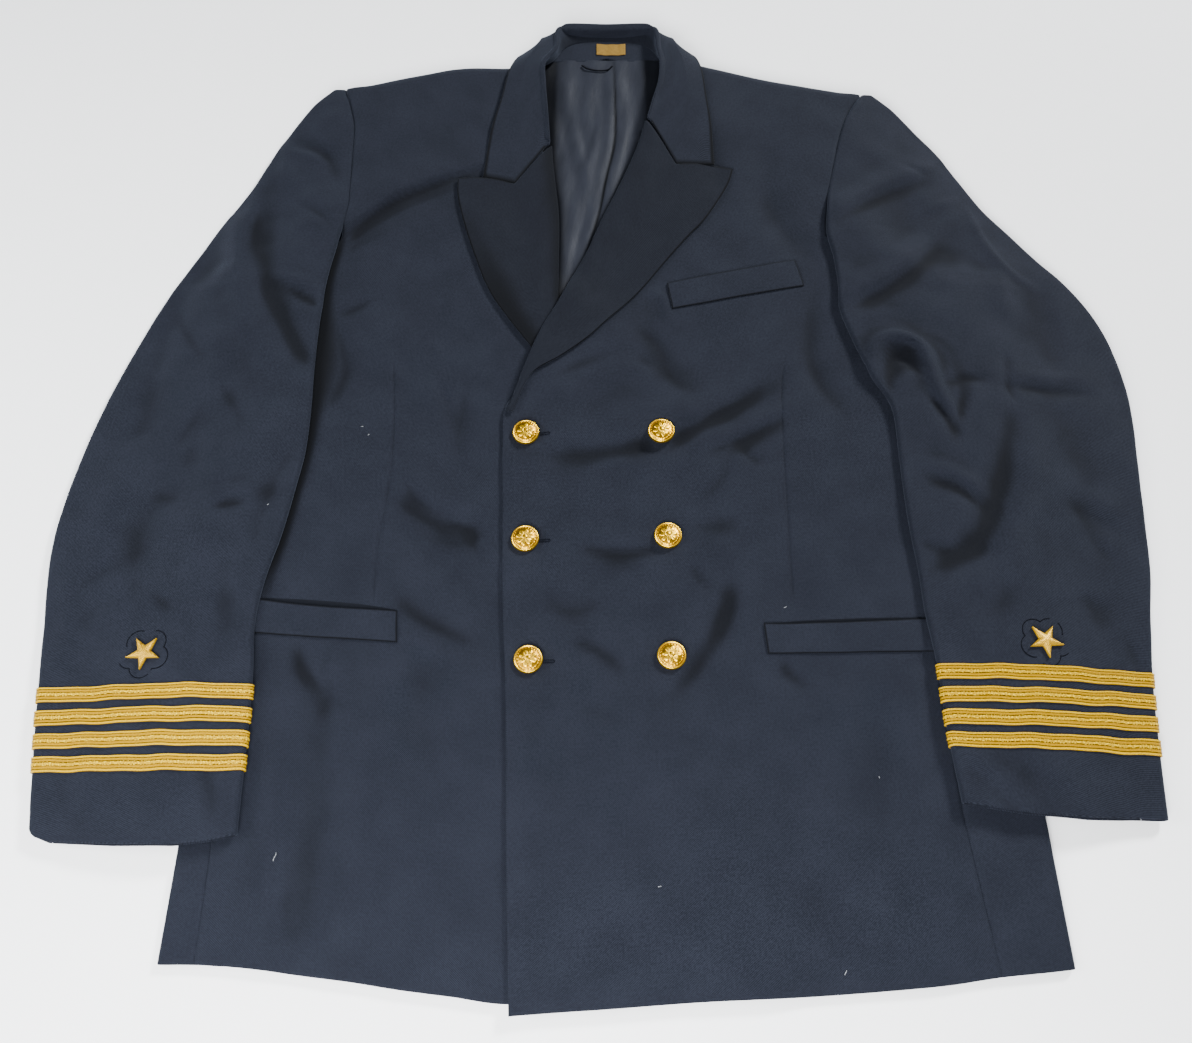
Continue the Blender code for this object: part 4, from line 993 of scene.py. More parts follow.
for side in ("right", "left"):
    grid = frontGrid(side)
    padding = np.clip(bodyLevel(grid[..., 1]) - 6.2, jacket["frontCloth"], 6.0)
    thick = np.clip(grid[..., 2] - jacket["backCloth"] - 0.6, 0.8, padding)
    # painted shade in the foot of each fold
    crease = 0.75 * hollowShare(grid[..., 2])
    if side == "right":          # in the shade of the sleeve that lies over it
        own, y = -grid[..., 0], grid[..., 1]
        width = 4.5 + 13.0 * np.exp(-((y - 150) / 48) ** 2)
        shade = np.exp(-np.clip((sleeveInner(side, y) - own) / width, 0, 9) ** 3)
        crease = np.maximum(crease, shade * smooth((305 - y) / 40) * smooth((y + 90) / 60))
    layCloth("front" + side.capitalize(), grid, thick, navyWool, "navy_wool", "front_" + side,
             front["flat"][side], ["back_" + side], straightDown=True, crease=crease)
print("fronts made")

sidePanel = {
    "turn": 52.0,                # reaches this far under the body
    "armpitY": 212.0,
    "rows": 130,
    "flat": {"right": (0.11, 0.56), "left": (0.13, 0.56)},
}


def sidePanelGrid(side):
    # from under the body, round a half circle of the body's height, to the front's seam
    share = np.linspace(0, 1, sidePanel["rows"])[:, None]
    y = jacket["sideHem"] + (sidePanel["armpitY"] - jacket["sideHem"]) * share
    edge = np.interp(np.minimum(y, 200.0), reach[side]["y"], reach[side]["x"])
    radius = bodyLevel(y) / 2
    seam = curveThrough(y, sideSeam[side]["y"], sideSeam[side]["x"]) + jacket["gap"] / 2
    t = np.linspace(0, 1, 10)
    under = (edge - sidePanel["turn"]) + (sidePanel["turn"] - radius - 1) * t
    turn = np.radians(np.linspace(-90, 90, 15)[1:-1])
    topShare = np.linspace(0, 1, 12)
    over = (edge - radius - 0.5) + (seam - edge + radius + 0.5) * topShare
    yGrid = np.broadcast_to(y, over.shape)
    surface = frontHeight(side, over * sign[side], yGrid)
    surface = surface - 0.7 * np.exp(-((over - seam) / 2.0) ** 2)
    meet = surface[:, :1] / (2 * radius)
    x = np.concatenate([under, edge - radius + radius * np.cos(turn), over], axis=1)
    bend = (radius + radius * np.sin(turn)) * (1 + (meet - 1) * (0.5 + 0.5 * np.sin(turn)))
    z = np.concatenate([np.zeros_like(under), bend, surface], axis=1)
    yGrid = np.broadcast_to(y, x.shape).copy()
    lower = curveThrough(np.maximum(x, seam), hem[side]["x"], hem[side]["y"]) - jacket["sideHem"]
    yGrid += lower * (1 - smooth(share / 0.12)) * smooth((x - seam + 20) / 20)
    waves = np.maximum(unevenness(under, np.broadcast_to(y, under.shape), 60, 5), 0)
    z[:, :len(t)] += 0.5 * waves * np.sin(math.pi * t)
    return np.stack([x * sign[side], yGrid, z], axis=-1)


back = {
    "cloth": 1.9,
    "flat": (0.27, 0.88),
    "rows": 96,
    "columns": 48,
    "middle": (-338.0, 528.5),   # the middle seam's ends
    "outer": {"right": (-333.0, 462.0), "left": (-333.0, 455.0)},
    "slope": columns("away y", [    # shoulder line, out from the middle of the neck
        (0, 528), (28, 526.5), (40, 519), (52, 503), (64, 489), (85, 479.5), (250, 466)]),
    "creases": [    # shallow hollows pressed in the underside
        ([(-200, 300), (-120, 270), (-40, 290)], 10, 12, 1.1),
        ([(60, 330), (140, 300), (210, 318)], 9, 12, 1.1),
        ([(-180, 60), (-110, 40), (-30, 70)], 8, 10, 1.0),
        ([(40, 30), (120, 0), (200, 22)], 9, 11, 1.1),
        ([(-150, -180), (-140, -250), (-150, -325)], 12, 12, 0.9),
        ([(130, -160), (150, -230), (136, -320)], 10, 12, 0.9),
        ([(-90, 180), (-70, 120), (-84, 60)], 8, 9, 0.8),
        ([(80, 200), (104, 150), (92, 90)], 8, 10, 0.8),
    ],
}


def neckRise(x, y):
    # the back lifts over the leaf of the collar that lies under it
    return 3.0 * smooth((y - 448) / 34) * (1 - smooth((np.abs(x - jacket["neckX"]) - 66) / 26))


def backGrid(side):
    # rows from the hem to the shoulder line, from the middle seam to the side panel or armhole
    share = np.linspace(0, 1, back["rows"])[:, None]
    low, high = back["middle"]
    start = low + share * (high - low)
    low, high = back["outer"][side]
    outerY = low + share * (high - low)
    inner = sign[side] * jacket["neckX"] + jacket["gap"] / 2
    edge = np.interp(np.minimum(outerY, 200.0), reach[side]["y"], reach[side]["x"])
    sideEdge = edge - sidePanel["turn"] - 0.6
    armhole = np.interp(outerY, backArmhole["y"], backArmhole["x"])
    outer = np.where(outerY < backArmhole["y"][0], sideEdge, armhole)
    across = np.linspace(0, 1, back["columns"])[None] ** 0.9
    own = inner + (outer - inner) * across
    y = start + (outerY - start) * np.clip(across / 0.9, 0, 1) ** 1.4
    away = np.abs(own - sign[side] * jacket["neckX"])
    slope = np.interp(away, back["slope"]["away"], back["slope"]["y"])
    y = np.minimum(y, slope)
    x = own * sign[side]
    rise = foldHeights(back["creases"], x, y) + 0.5 * np.exp(-(away / 1.6) ** 2)
    z = neckRise(x, y) + np.maximum(rise, 0)
    return np.stack([x, y, z], axis=-1)


for side in ("right", "left"):
    layCloth("side" + side.capitalize(), sidePanelGrid(side), back["cloth"] - 0.2, navyWool,
             "navy_wool", "side_" + side, sidePanel["flat"][side], ["back_" + side])
    layCloth("back" + side.capitalize(), backGrid(side), back["cloth"] - 0.6, navyWool,
             "navy_wool", "back_" + side, back["flat"], upwards=False)
print("backs and side panels made")

lapel = {
    "right": columns("rollX rollY edgeX edgeY", [
        (41, 386, 129, 347), (40, 368, 128, 328), (37, 340, 123, 304), (34, 312, 115, 276),
        (33, 287, 107, 252), (33, 262, 99, 230), (33, 235, 89, 210), (32, 208, 76, 190),
        (21, 184, 62, 170), (8, 164, 49, 151), (-5, 148, 36, 135)]),
    "left": columns("rollX rollY edgeX edgeY", [
        (47, 419, 128, 357), (40, 392, 123, 341), (30, 362, 111, 318), (17, 329, 98, 297),
        (6, 304, 83, 279), (-7, 268, 61, 250), (-20, 238, 41, 222), (-32, 208, 16, 192),
        (-43, 186, -6, 167), (-52, 165, -30, 147), (-60, 141, -50, 134), (-66, 124, -59, 122),
        (-71, 108, -65, 107), (-75, 96, -69, 94)]),
    "notch": {"right": (75.5, 339.0), "left": (74.5, 362.5)},
    "roundness": 6.0,            # width of the roll's round edge
    "rows": 120,
    "collarColumn": 22,          # from here out, the top row lies free of the collar
    "flat": {"right": (0.12, 0.27), "left": (0.13, 0.36)},
}


def lapelGrid(side):
    # straight lines from the roll to the edge; the top ones bend down to the notch
    table = tableRows(lapel[side])
    rows = rowsThrough(table, np.linspace(0, len(table) - 1, lapel["rows"]))
    across = np.concatenate([np.array([0.0, 0.012, 0.03, 0.055]), np.linspace(0.085, 1, 46)])
    notchX, notchY = lapel["notch"][side]
    dipX = notchX - (rows[0][0] + 0.4 * (rows[0][2] - rows[0][0]))
    dipY = notchY - 0.4 - (rows[0][1] + 0.4 * (rows[0][3] - rows[0][1]))
    tent = np.interp(across, [0, 0.4, 1], [0, 1, 0])[None]
    number = np.linspace(0, 17, lapel["rows"])[:, None]
    bend = np.maximum(0.0, 1 - number / 9.0)
    rollX, rollY, edgeX, edgeY = [rows[:, k:k + 1] for k in range(4)]
    x = rollX + (edgeX - rollX) * across + bend * dipX * tent
    y = rollY + (edgeY - rollY) * across + bend * dipY * tent
    y = y + 3.0 * bend * np.sin(math.pi * np.clip((across - 0.4) / 0.6, 0, 1))    # the top's curve
    span = np.hypot(edgeX - rollX, edgeY - rollY)
    z = frontHeight(side, x * sign[side], y) + jacket["lapelLift"] + jacket["lapelCloth"]
    roll = np.clip(across * span / lapel["roundness"], 0, 1)
    z = z - 3.2 * (1 - np.sqrt(np.clip(1 - (1 - roll) ** 2, 0, 1)))
    z = z + 1.6 * np.exp(-((across * span - 16) / 14) ** 2) * smooth(span / 60)
    z = z - 0.7 * smooth((across - 0.8) / 0.2)
    grid = np.stack([x * sign[side], y, z], axis=-1)
    tucked = grid[0] + unit(grid[0] - grid[2]) * 2.0
    tucked[:, 2] = grid[0, :, 2] - 1.5
    inside = np.abs(across - 0.5)[:, None] < 0.47
    grid = np.concatenate([np.where(inside, tucked, grid[0])[None], grid])
    crease = np.zeros(grid.shape[:2])
    crease[:, -1] = 1.0          # painted shade along the edge
    # painted shade along the top row, out from the collar
    crease[:2, lapel["collarColumn"]:] = 1.0
    if side == "right":          # painted shade where it turns away under the other front, and at the roll
        down = smooth((np.linspace(0, 1, len(grid))[:, None] - 0.05) / 0.6)
        width = 0.03 + 0.30 * down
        crease = np.maximum(crease, 0.8 * down * np.exp(-((1 - across[None]) / width) ** 4))
        crease = np.maximum(crease, 0.7 * np.exp(-(across[None] / 0.11) ** 2))
    return grid, crease


for side in ("right", "left"):
    grid, crease = lapelGrid(side)
    layCloth("lapel" + side.capitalize(), grid, jacket["lapelCloth"], shadedLapelWool, "navy_wool",
             "lapel_" + side, lapel["flat"][side], ["front_" + side], crease=crease)
print("lapels made")

# Collar: seam, roll, middle and edge of the leaf, from the gorge round to the back of the neck.
collarColumns = "seamX seamY seamZ rollX rollY rollZ middleX middleY middleZ edgeX edgeY edgeZ"
collar = {
    "back": columns(collarColumns, [
        (52, 500, 11.6, 48, 508, 22.0, 68, 516, 18.5, 86, 511, 8.0),
        (42, 520, 8.4, 47, 533, 20.5, 63, 533, 10.5, 73, 508, 0.6),
        (28, 528, 7.2, 39, 544, 17.0, 44, 533, 2.0, 48, 498, 0.1),
        (0, 530, 7.0, 0, 546, 14.6, 0, 532, 0.2, 0, 494, 0.1)]),
    "right": columns(collarColumns, [
        (50, 394, 14.2, 42, 389, 16.5, 75.5, 340.5, 14.8, 105.5, 348.5, 14.8),
        (56, 421, 14.4, 44, 421, 20.5, 73, 409, 17.8, 100, 404, 17.2),
        (58, 455, 14.6, 47, 458, 23.0, 74, 452, 20.0, 92, 442, 18.0),
        (58, 480, 14.0, 47.5, 487, 23.5, 68, 487, 20.5, 85, 484, 16.5)]),
    "left": columns(collarColumns, [
        (54, 424, 15.6, 48, 420, 18.5, 75.5, 363.5, 15.6, 111, 362.5, 15.6),
        (61, 438, 15.6, 53, 441, 20.5, 86, 419, 18.2, 110, 411, 17.6),
        (66, 458, 15.0, 59, 463, 23.0, 89, 452, 20.0, 107, 446, 18.0),
        (67, 482, 14.0, 61, 488, 23.5, 86, 487, 20.5, 104, 484, 16.5)]),
    "cloth": 2.0,
    "roll": 2.6,
    "sections": 150,
    "standColumns": 5,           # across the stand, which lies in its own shade
    "leafColumn": 18,            # the leaf starts here, past the roll
    "flat": (0.115, 0.46),
}


def collarGrid():
    # each section stands from the seam, turns half a circle at the roll and falls as the leaf
    middle = jacket["neckX"]
    right = tableRows(collar["right"])
    left = tableRows(collar["left"])
    right[:, 0::3] *= -1
    behind = tableRows(collar["back"])
    mirrored = behind[-2::-1].copy()
    behind[:, 0::3] = middle - behind[:, 0::3]
    mirrored[:, 0::3] = middle + mirrored[:, 0::3]
    rows = np.concatenate([right, behind, mirrored, left[::-1]])
    rows = rowsThrough(rows, np.linspace(0, len(rows) - 1, collar["sections"]))
    seam, roll, centre, edge = [rows[:, None, 3 * k:3 * k + 3] for k in range(4)]
    out = centre - roll
    out[..., 2] = 0
    out = unit(out)
    rise = unit(roll - seam)
    pivot = roll + (out - rise) * collar["roll"]
    turn = np.linspace(0, math.pi, 11)[None, :, None]
    bend = pivot + collar["roll"] * (rise * np.sin(turn) - out * np.cos(turn))
    t = np.linspace(0, 0.9, 8)[None, :, None]
    up = seam + (bend[:, :1] - seam) * t
    turned = bend[:, -1:]
    t = np.linspace(0, 1, 16)[None, 1:, None]
    fall = turned + (centre - turned) * t
    leaf = centre + (edge - centre) * t
    grid = np.concatenate([up, bend, fall, leaf], axis=1)
    column = collar["leafColumn"]
    for first, second in ((0, 1), (-1, -2)):      # each end of the leaf meets its lapel
        grid[first, column:] += 0.9 * unit(grid[first, column:] - grid[second, column:])
    return grid


grid = collarGrid()
crease = np.zeros(grid.shape[:2])
crease[:, -2:] = 1.0             # painted shade along the edge and at both ends
crease[[0, -1], collar["leafColumn"] + 1:] = 1.0
# painted shade across the stand
crease[:, :collar["standColumns"]] = 0.35
layCloth("collarCloth", grid, collar["cloth"], navyWool, "navy_wool", "collar", collar["flat"],
         ["front_right", "front_left"], crease=crease)
print("collar made")

lining = {
    "cloth": 1.0,
    "low": 168.0,
    "high": 505.0,
    "rows": 110,
    "columns": 84,
    "rightEdge": columns("y x", [(168, -62), (300, -62), (470, -60), (505, -50)]),
    "leftEdge": columns("y x", [(168, 8), (300, 34), (420, 62), (505, 66)]),
    "pleat": [(18, 502), (19, 450), (18, 400), (9, 350), (3, 312), (-8, 270)],
    "relief": 0.30,
    "flat": (0.11, 0.34),
}


def liningGrid():
    # satin on the back, with its folds where it shows between the rolls of the lapels
    y = np.linspace(lining["low"], lining["high"], lining["rows"])[:, None]
    low = np.interp(y, lining["rightEdge"]["y"], lining["rightEdge"]["x"])
    high = np.interp(y, lining["leftEdge"]["y"], lining["leftEdge"]["x"])
    x = low + (high - low) * np.linspace(0, 1, lining["columns"])
    y = np.broadcast_to(y, x.shape)
    z = jacket["backTop"] + jacket["gap"] + lining["cloth"] + neckRise(x, y) + 1.0
    rollRight = -curveThrough(y, lapel["right"]["rollY"], lapel["right"]["rollX"])
    rollLeft = curveThrough(y, lapel["left"]["rollY"], lapel["left"]["rollX"])
    rollLeft = np.where(y > 415, 50.0, rollLeft)
    shown = smooth((x - rollRight + 10) / 12) * smooth((rollLeft + 10 - x) / 12)
    relief = lining["relief"] * foldHeights(liningFolds, x, y) + 0.5 * unevenness(x, y * 0.4, 26, 21)
    fullness = 1.4 * smooth((500 - y) / 60) * smooth((y - 230) / 70)
    # painted shade along the pleat, and where it goes in beneath the lapels and the collar
    pleat = foldHeights([(lining["pleat"], 1.1, 1.5, 1.3)], x, y)
    nearRight = np.exp(-np.clip((x - rollRight) / 4.5, 0, 9) ** 1.5)
    nearLeft = np.exp(-np.clip((rollLeft - x) / 3.5, 0, 9) ** 1.5)
    crease = np.clip(pleat + 0.85 * nearRight + 0.7 * nearLeft, 0, 1)
    return np.stack([x, y, z + np.maximum(relief + fullness, -1.0) * shown], axis=-1), crease


grid, crease = liningGrid()
layCloth("backLining", grid, lining["cloth"] * 0.7, greySatin, "grey_satin", "back_lining",
         lining["flat"], ["back_right", "back_left"], crease=crease)

facing = {
    "cloth": 1.2,
    "low": 503.0,
    "high": 532.0,
    "half": columns("y x", [(503, 60), (519, 50), (532, 38)]),
    "lift": 1.4,
    "flat": (0.122, 0.032),
}
label = {
    "cloth": 0.7,
    "middle": 4.0,               # this far to the wearer's left of the neck's middle
    "width": 29.0,
    "low": 512.0,
    "high": 527.0,
    "sag": 0.8,
    "flat": (0.030, 0.016),
}


def facingGrid():
    # a strip across the back of the neck; its lower edge rises to a point beneath the label
    y = np.linspace(facing["low"], facing["high"], 18)[:, None]
    half = np.interp(y, facing["half"]["y"], facing["half"]["x"])
    x = jacket["neckX"] + half * np.linspace(-1, 1, 44)
    y = np.broadcast_to(y, x.shape)
    point = 5.0 * np.clip(1 - np.abs(x - jacket["neckX"]) / 14, 0, 1)
    y = y + point * smooth((515 - y) / 12)
    z = jacket["backTop"] + neckRise(x, y) + jacket["gap"] + facing["lift"] + 0.5
    return np.stack([x, y, z], axis=-1)


def labelGrid():
    # a small rectangle on the facing, sagging at its middle and hardly waved
    y = np.linspace(label["low"], label["high"], 14)[:, None]
    x = jacket["neckX"] + label["middle"] + np.linspace(-0.5, 0.5, 26) * label["width"]
    x, y = np.broadcast_arrays(x, y)
    place = (x - jacket["neckX"] - label["middle"]) / label["width"]
    sag = label["sag"] * np.cos(place * math.pi)
    z = jacket["backTop"] + neckRise(x, y) + 2 * jacket["gap"] + facing["lift"] + 0.5 + label["cloth"]
    return np.stack([x, y - sag, z + 0.2 * np.sin(x * 0.5)], axis=-1)


layCloth("neckFacing", facingGrid(), facing["cloth"], navyWool, "navy_wool", "neck_facing",
         facing["flat"], ["back_right"])
layCloth("neckLabel", labelGrid(), label["cloth"], ochreWeave, "ochre_weave", "neck_label",
         label["flat"], ["neck_facing"])
print("neck made")

welts = {    # corners from the upper inner one round by the outer ones, in the wearer's direction
    "breastWelt": {
        "node": "breast_welt", "side": "left", "mouth": 0.9, "flat": (0.124, 0.031),
        "corners": [(63, 229.5), (179, 256), (185, 227), (67, 201.5)]},
    "hipWeltLeft": {
        "node": "hip_welt_left", "side": "left", "mouth": 2.1, "flat": (0.126, 0.027),
        "corners": [(128, -91), (257, -86), (258, -113), (130, -115)]},
    "hipWeltRight": {
        "node": "hip_welt_right", "side": "right", "mouth": 3.8, "flat": (0.106, 0.028),
        "corners": [(153, -80), (264, -70), (265, -98), (151, -106)]},
}
weltCloth = 1.3


def weltGrid(side, corners, mouth):
    # a flat strip between its corners, full along its middle, slack at the pocket's mouth
    corners = np.array(corners, float)
    t = np.linspace(0, 1, 20)[:, None, None]
    s = np.linspace(0, 1, 80)[None, :, None]
    start = corners[3] + (corners[0] - corners[3]) * t
    end = corners[2] + (corners[1] - corners[2]) * t
    place = start + (end - start) * s
    up, along = t[..., 0], s[..., 0]
    x = place[..., 0] * sign[side]
    y = place[..., 1] - mouth * 0.5 * np.sin(math.pi * along) ** 0.8 * smooth((up - 0.4) / 0.6)
    z = frontHeight(side, x, y) + jacket["gap"] + weltCloth
    full = np.sin(math.pi * np.clip(up, 0.03, 0.97)) * np.sin(math.pi * np.clip(along, 0.01, 0.99))
    z = z + 0.9 * full ** 0.35
    seam = 0.6 * np.exp(-(up / 0.08) ** 2)
    lifted = 0.25 * mouth * smooth((up - 0.5) / 0.5) * np.sin(math.pi * along)
    return np.stack([x, y, z - seam + lifted], axis=-1)


def mouthGrid(side, corners, mouth):
    # a lens of shade along the welt's upper edge, where the pocket stands open
    corners = np.array(corners, float)
    s = np.linspace(0, 1, 80)[None, :, None]
    t = np.linspace(0, 1, 6)[:, None]
    line = corners[0] + (corners[1] - corners[0]) * s
    high = mouth * 0.75 * np.sin(math.pi * s[..., 0]) ** 0.7
    low = mouth * 0.8 * np.sin(math.pi * s[..., 0])
    x = np.broadcast_to(line[..., 0] * sign[side], (6, 80))
    y = line[..., 1] - low + (high + low + 0.3) * t
    return np.stack([x, y, frontHeight(side, x, y) + 0.25], axis=-1)


for name, welt in welts.items():
    form = (welt["side"], welt["corners"], welt["mouth"])
    grid = weltGrid(*form)
    # painted shade round the welt's edges
    crease = np.zeros(grid.shape[:2])
    crease[[0, -1]] = 0.9
    crease[:, [0, -1]] = 0.9
    layCloth(name, grid, weltCloth, navyWool, "navy_wool", welt["node"], welt["flat"],
             ["front_" + welt["side"]], crease=crease)
    # a dark sheet of painted shade in the pocket's open mouth
    settle(closedSheet(name + "MouthShade", mouthGrid(*form), 0.3, shadeWool))
print("pockets made")


def sleeveRows(side, count):
    # inner and outer edge at evenly spaced rows, from the head to the cuff
    table = tableRows(sleeveEdges[side])
    return rowsThrough(table, np.linspace(0, len(table) - 1, count))


def sleeveSections(side, rows, arc=9, tops=None):
    # a section runs under the inner edge, round it, over the top, round the outer edge and
    # back under; the runs end at the seams with the under sleeve
    tops = tops or sleeve["across"]
    inner, outer = rows[:, None, :2], rows[:, None, 2:]
    wide = np.linalg.norm(outer - inner, axis=-1)
    step = (outer - inner) / wide[..., None]
    innerY = rows[:, 1:2]
    first = sleeve["loft"] / 2

    def surface(s, under):
        place = inner + step * s[..., None]
        x = place[..., 0] * sign[side]
        if under:
            return sleeveUnder(side, x, place[..., 1])
        return sleeveTop(side, x, place[..., 1], np.clip(s / wide, 0, 1))

    wrap = 0.45 + 0.55 * smooth((sleeve["head"][side] + 34 - innerY) / 30)
    at = np.full_like(wide, first)
    radiusIn = np.clip((surface(at, False) - surface(at, True)) / 2, 1.9, first)
    loft = surface(wide - first, False) - surface(wide - first, True)
    radiusOut = np.clip(loft / 2, 1.9, first + 1.5)
    turn = np.radians(90 + 180 * wrap * np.linspace(1, 0, arc))
    arcS = radiusIn + radiusIn * np.cos(turn)
    arcZ = surface(radiusIn, False) - radiusIn + radiusIn * np.sin(turn)
    number = np.linspace(0, 22, len(rows))[:, None]
    run = np.interp(number, [0, 3], [3, 14])
    runIn = (1 + (run - 1) * wrap ** 6) * np.linspace(1, 0.12, sleeve["runPoints"])
    runS = arcS[:, :1] - runIn * np.sin(turn[:, :1])
    runZ = np.where(wrap > 0.99, surface(runS, True), arcZ[:, :1] + runIn * np.cos(turn[:, :1]))
    topS = radiusIn + (wide - radiusOut - radiusIn) * np.linspace(0, 1, tops)[1:-1]
    turnOut = np.radians(np.linspace(90, -90, arc))
    outS = wide - radiusOut + radiusOut * np.cos(turnOut)
    outZ = surface(wide - radiusOut, False) - radiusOut + radiusOut * np.sin(turnOut)
    backS = wide - radiusOut - run * np.linspace(0.12, 1, sleeve["runPoints"])
    s = np.concatenate([runS, arcS, topS, outS, backS], axis=1)
    z = np.concatenate([runZ, arcZ, surface(topS, False), outZ, surface(backS, True)], axis=1)
    place = inner + step * s[..., None]
    x, y = place[..., 0], place[..., 1]
    y = y + cuffBow(side, s / wide, y)
    return np.stack([x * sign[side], y, z], axis=-1), (runS[:, 0], backS[:, -1], inner, step)


def underSleeveGrid(side):
    # flat beneath the sleeve, from its inner run or the back's armhole to its outer run
    rows = sleeveRows(side, 150)
    firstS, lastS, inner, step = sleeveSections(side, rows)[1]
    keep = rows[:, 1] < 425
    rows, firstS, lastS, inner, step = rows[keep], firstS[keep], lastS[keep], inner[keep], step[keep]
    innerY = rows[:, 1]
    armhole = np.interp(innerY, backArmhole["y"], backArmhole["x"])
    start = np.where(innerY > 240, np.maximum((armhole - rows[:, 0]) / step[:, 0, 0], firstS), firstS)
    start = start + np.where(innerY < 240, jacket["gap"], 2.0)
    s = start[:, None] + (lastS - jacket["gap"] - start)[:, None] * np.linspace(0, 1, 26)
    place = inner + step * s[..., None]
    wide = np.linalg.norm(rows[:, 2:] - rows[:, :2], axis=1)[:, None]
    x, y = place[..., 0] * sign[side], place[..., 1]
    z = sleeveUnder(side, x, y)
    crease = 0.25 * np.maximum(foldHeights(sleeveFolds[side], x, y), 0)
    z = z + crease * smooth((s - start[:, None]) / 12) * smooth((lastS[:, None] - s) / 12)
    return np.stack([x, y + cuffBow(side, s / wide, y), z], axis=-1)


for side in ("right", "left"):
    grid = sleeveSections(side, sleeveRows(side, sleeve["rows"]))[0]
    # painted shade in the foot of each fold
    crease = 0.75 * hollowShare(grid[..., 2]) * smooth((grid[..., 2] - 6) / 4)
    layCloth("topSleeve" + side.capitalize(), grid, sleeve["cloth"], navyWool, "navy_wool",
             "topsleeve_" + side, sleeve["flat"]["top"], ["back_" + side], crease=crease)
    layCloth("underSleeve" + side.capitalize(), underSleeveGrid(side), sleeve["cloth"], navyWool,
             "navy_wool", "undersleeve_" + side, sleeve["flat"]["under"], upwards=False)
print("sleeves made")


def braidProfile(v):
    # raised cords along both edges, two grooves, and a middle band that stands highest
    edgeCord = np.exp(-((np.abs(v - 0.5) - 0.445) / 0.035) ** 2)
    groove = np.exp(-((np.abs(v - 0.5) - 0.135) / 0.022) ** 2)
    inset = np.exp(-((np.abs(v - 0.5) - 0.345) / 0.020) ** 2)
    middle = 1 - smooth((np.abs(v - 0.5) - 0.08) / 0.06)
    ends = np.sqrt(np.clip(1 - (np.clip(np.abs(v - 0.5) - 0.46, 0, 0.04) / 0.04) ** 2, 0, 1))
    return (0.72 + 0.14 * edgeCord - 0.24 * groove - 0.16 * inset + 0.15 * middle) * ends


def braidGrid(side, number):
    # the sleeve's own section, closed underneath, moved out by the lace's gap and profile
    rows = sleeveRows(side, 2400)
    level = 0.5 * (rows[:, 1] + rows[:, 3])
    top = lace["top"][side] - number * lace["pitch"][side]
    v = np.linspace(0, 1, lace["across"])
    wanted = top - lace["width"] * (1 - v)
    picked = rows[np.argmin(np.abs(level[None] - wanted[:, None]), axis=1)]
    section = sleeveSections(side, picked, arc=15, tops=lace["around"])[0]
    first, last = section[:, :1], section[:, -1:]
    bridge = last + (first - last) * np.linspace(0, 1, 50)[None, 1:-1, None]
    bridge[..., 2] = sleeveUnder(side, bridge[..., 0], bridge[..., 1])
    section = np.concatenate([section, bridge], axis=1)
    x, z = section[..., 0], section[..., 2]
    around = np.linspace(0, 1, section.shape[1], endpoint=False)
    circle = around * 2 * math.pi
    wobble = 0.3 * np.sin(circle * 5 + number * 1.7) + 0.2 * np.sin(circle * 9 + number)
    section[..., 1] += wobble * smooth((z - 4) / 6)
    padded = np.concatenate([section[:, -1:], section, section[:, :1]], axis=1)
    normal = gridNormals(padded)[:, 1:-1]
    high = np.argmax(z[1])
    if normal[1, high, 2] < 0:
        normal = -normal
    ripple = 0.10 * np.sin(np.arange(section.shape[1]) * 1.9)[None]
    ripple = ripple * np.exp(-((v - 0.5) / 0.12) ** 2)[:, None]
    lift = lace["gap"] + lace["thick"] * braidProfile(v)[:, None] + ripple
    outer = section + normal * lift[..., None]
    inner = section + normal * lace["gap"] * 0.6
    return outer, inner[[-1, lace["across"] // 2, 0]]


for side in ("right", "left"):
    for number in range(lace["count"]):
        outer, inner = braidGrid(side, number)
        loop = np.concatenate([outer, inner])
        count, around = loop.shape[:2]
        index = np.arange(count * around).reshape(count, around)
        index = np.concatenate([index, index[:1]])
        index = np.concatenate([index, index[:, :1]], axis=1)
        length = np.concatenate([[0], np.cumsum(np.linalg.norm(np.diff(outer[0], axis=0), axis=-1))])
        v = np.concatenate([np.linspace(0, 1, lace["across"]), [1.0, 0.5, 0.0]])
        flat = np.stack(np.broadcast_arrays(length[None] * jacket["millimetre"], v[:, None]), axis=-1)
        name = "braid%s%d" % (side.capitalize(), number + 1)
        piece = meshFrom(name, loop.reshape(-1, 3), gridQuads(index), goldLace, flat.reshape(-1, 2))
        settle(piece, ["braid_%s_%d" % (side, number + 1)])
print("braids made")

stars = {
    # x, y and turn in degrees
    "places": {"right": (-338.0, -117.0, -92.0), "left": (336.5, -108.5, -86.0)},
    "span": 26.0,
    "waist": 0.42,               # inner corners, as a share of the points' reach
    "low": 0.4,
    "high": 4.4,
    "stitches": 15,
}


def starHeight(side, x, y):
    # the sleeve's upper face under a star
    own = x * sign[side]
    edges = sleeveEdges[side]
    innerX = np.interp(-y, -edges["innerY"], edges["innerX"])
    outerX = np.interp(-y, -edges["outerY"], edges["outerX"])
    return sleeveTop(side, x, y, np.clip((own - innerX) / (outerX - innerX), 0, 1))


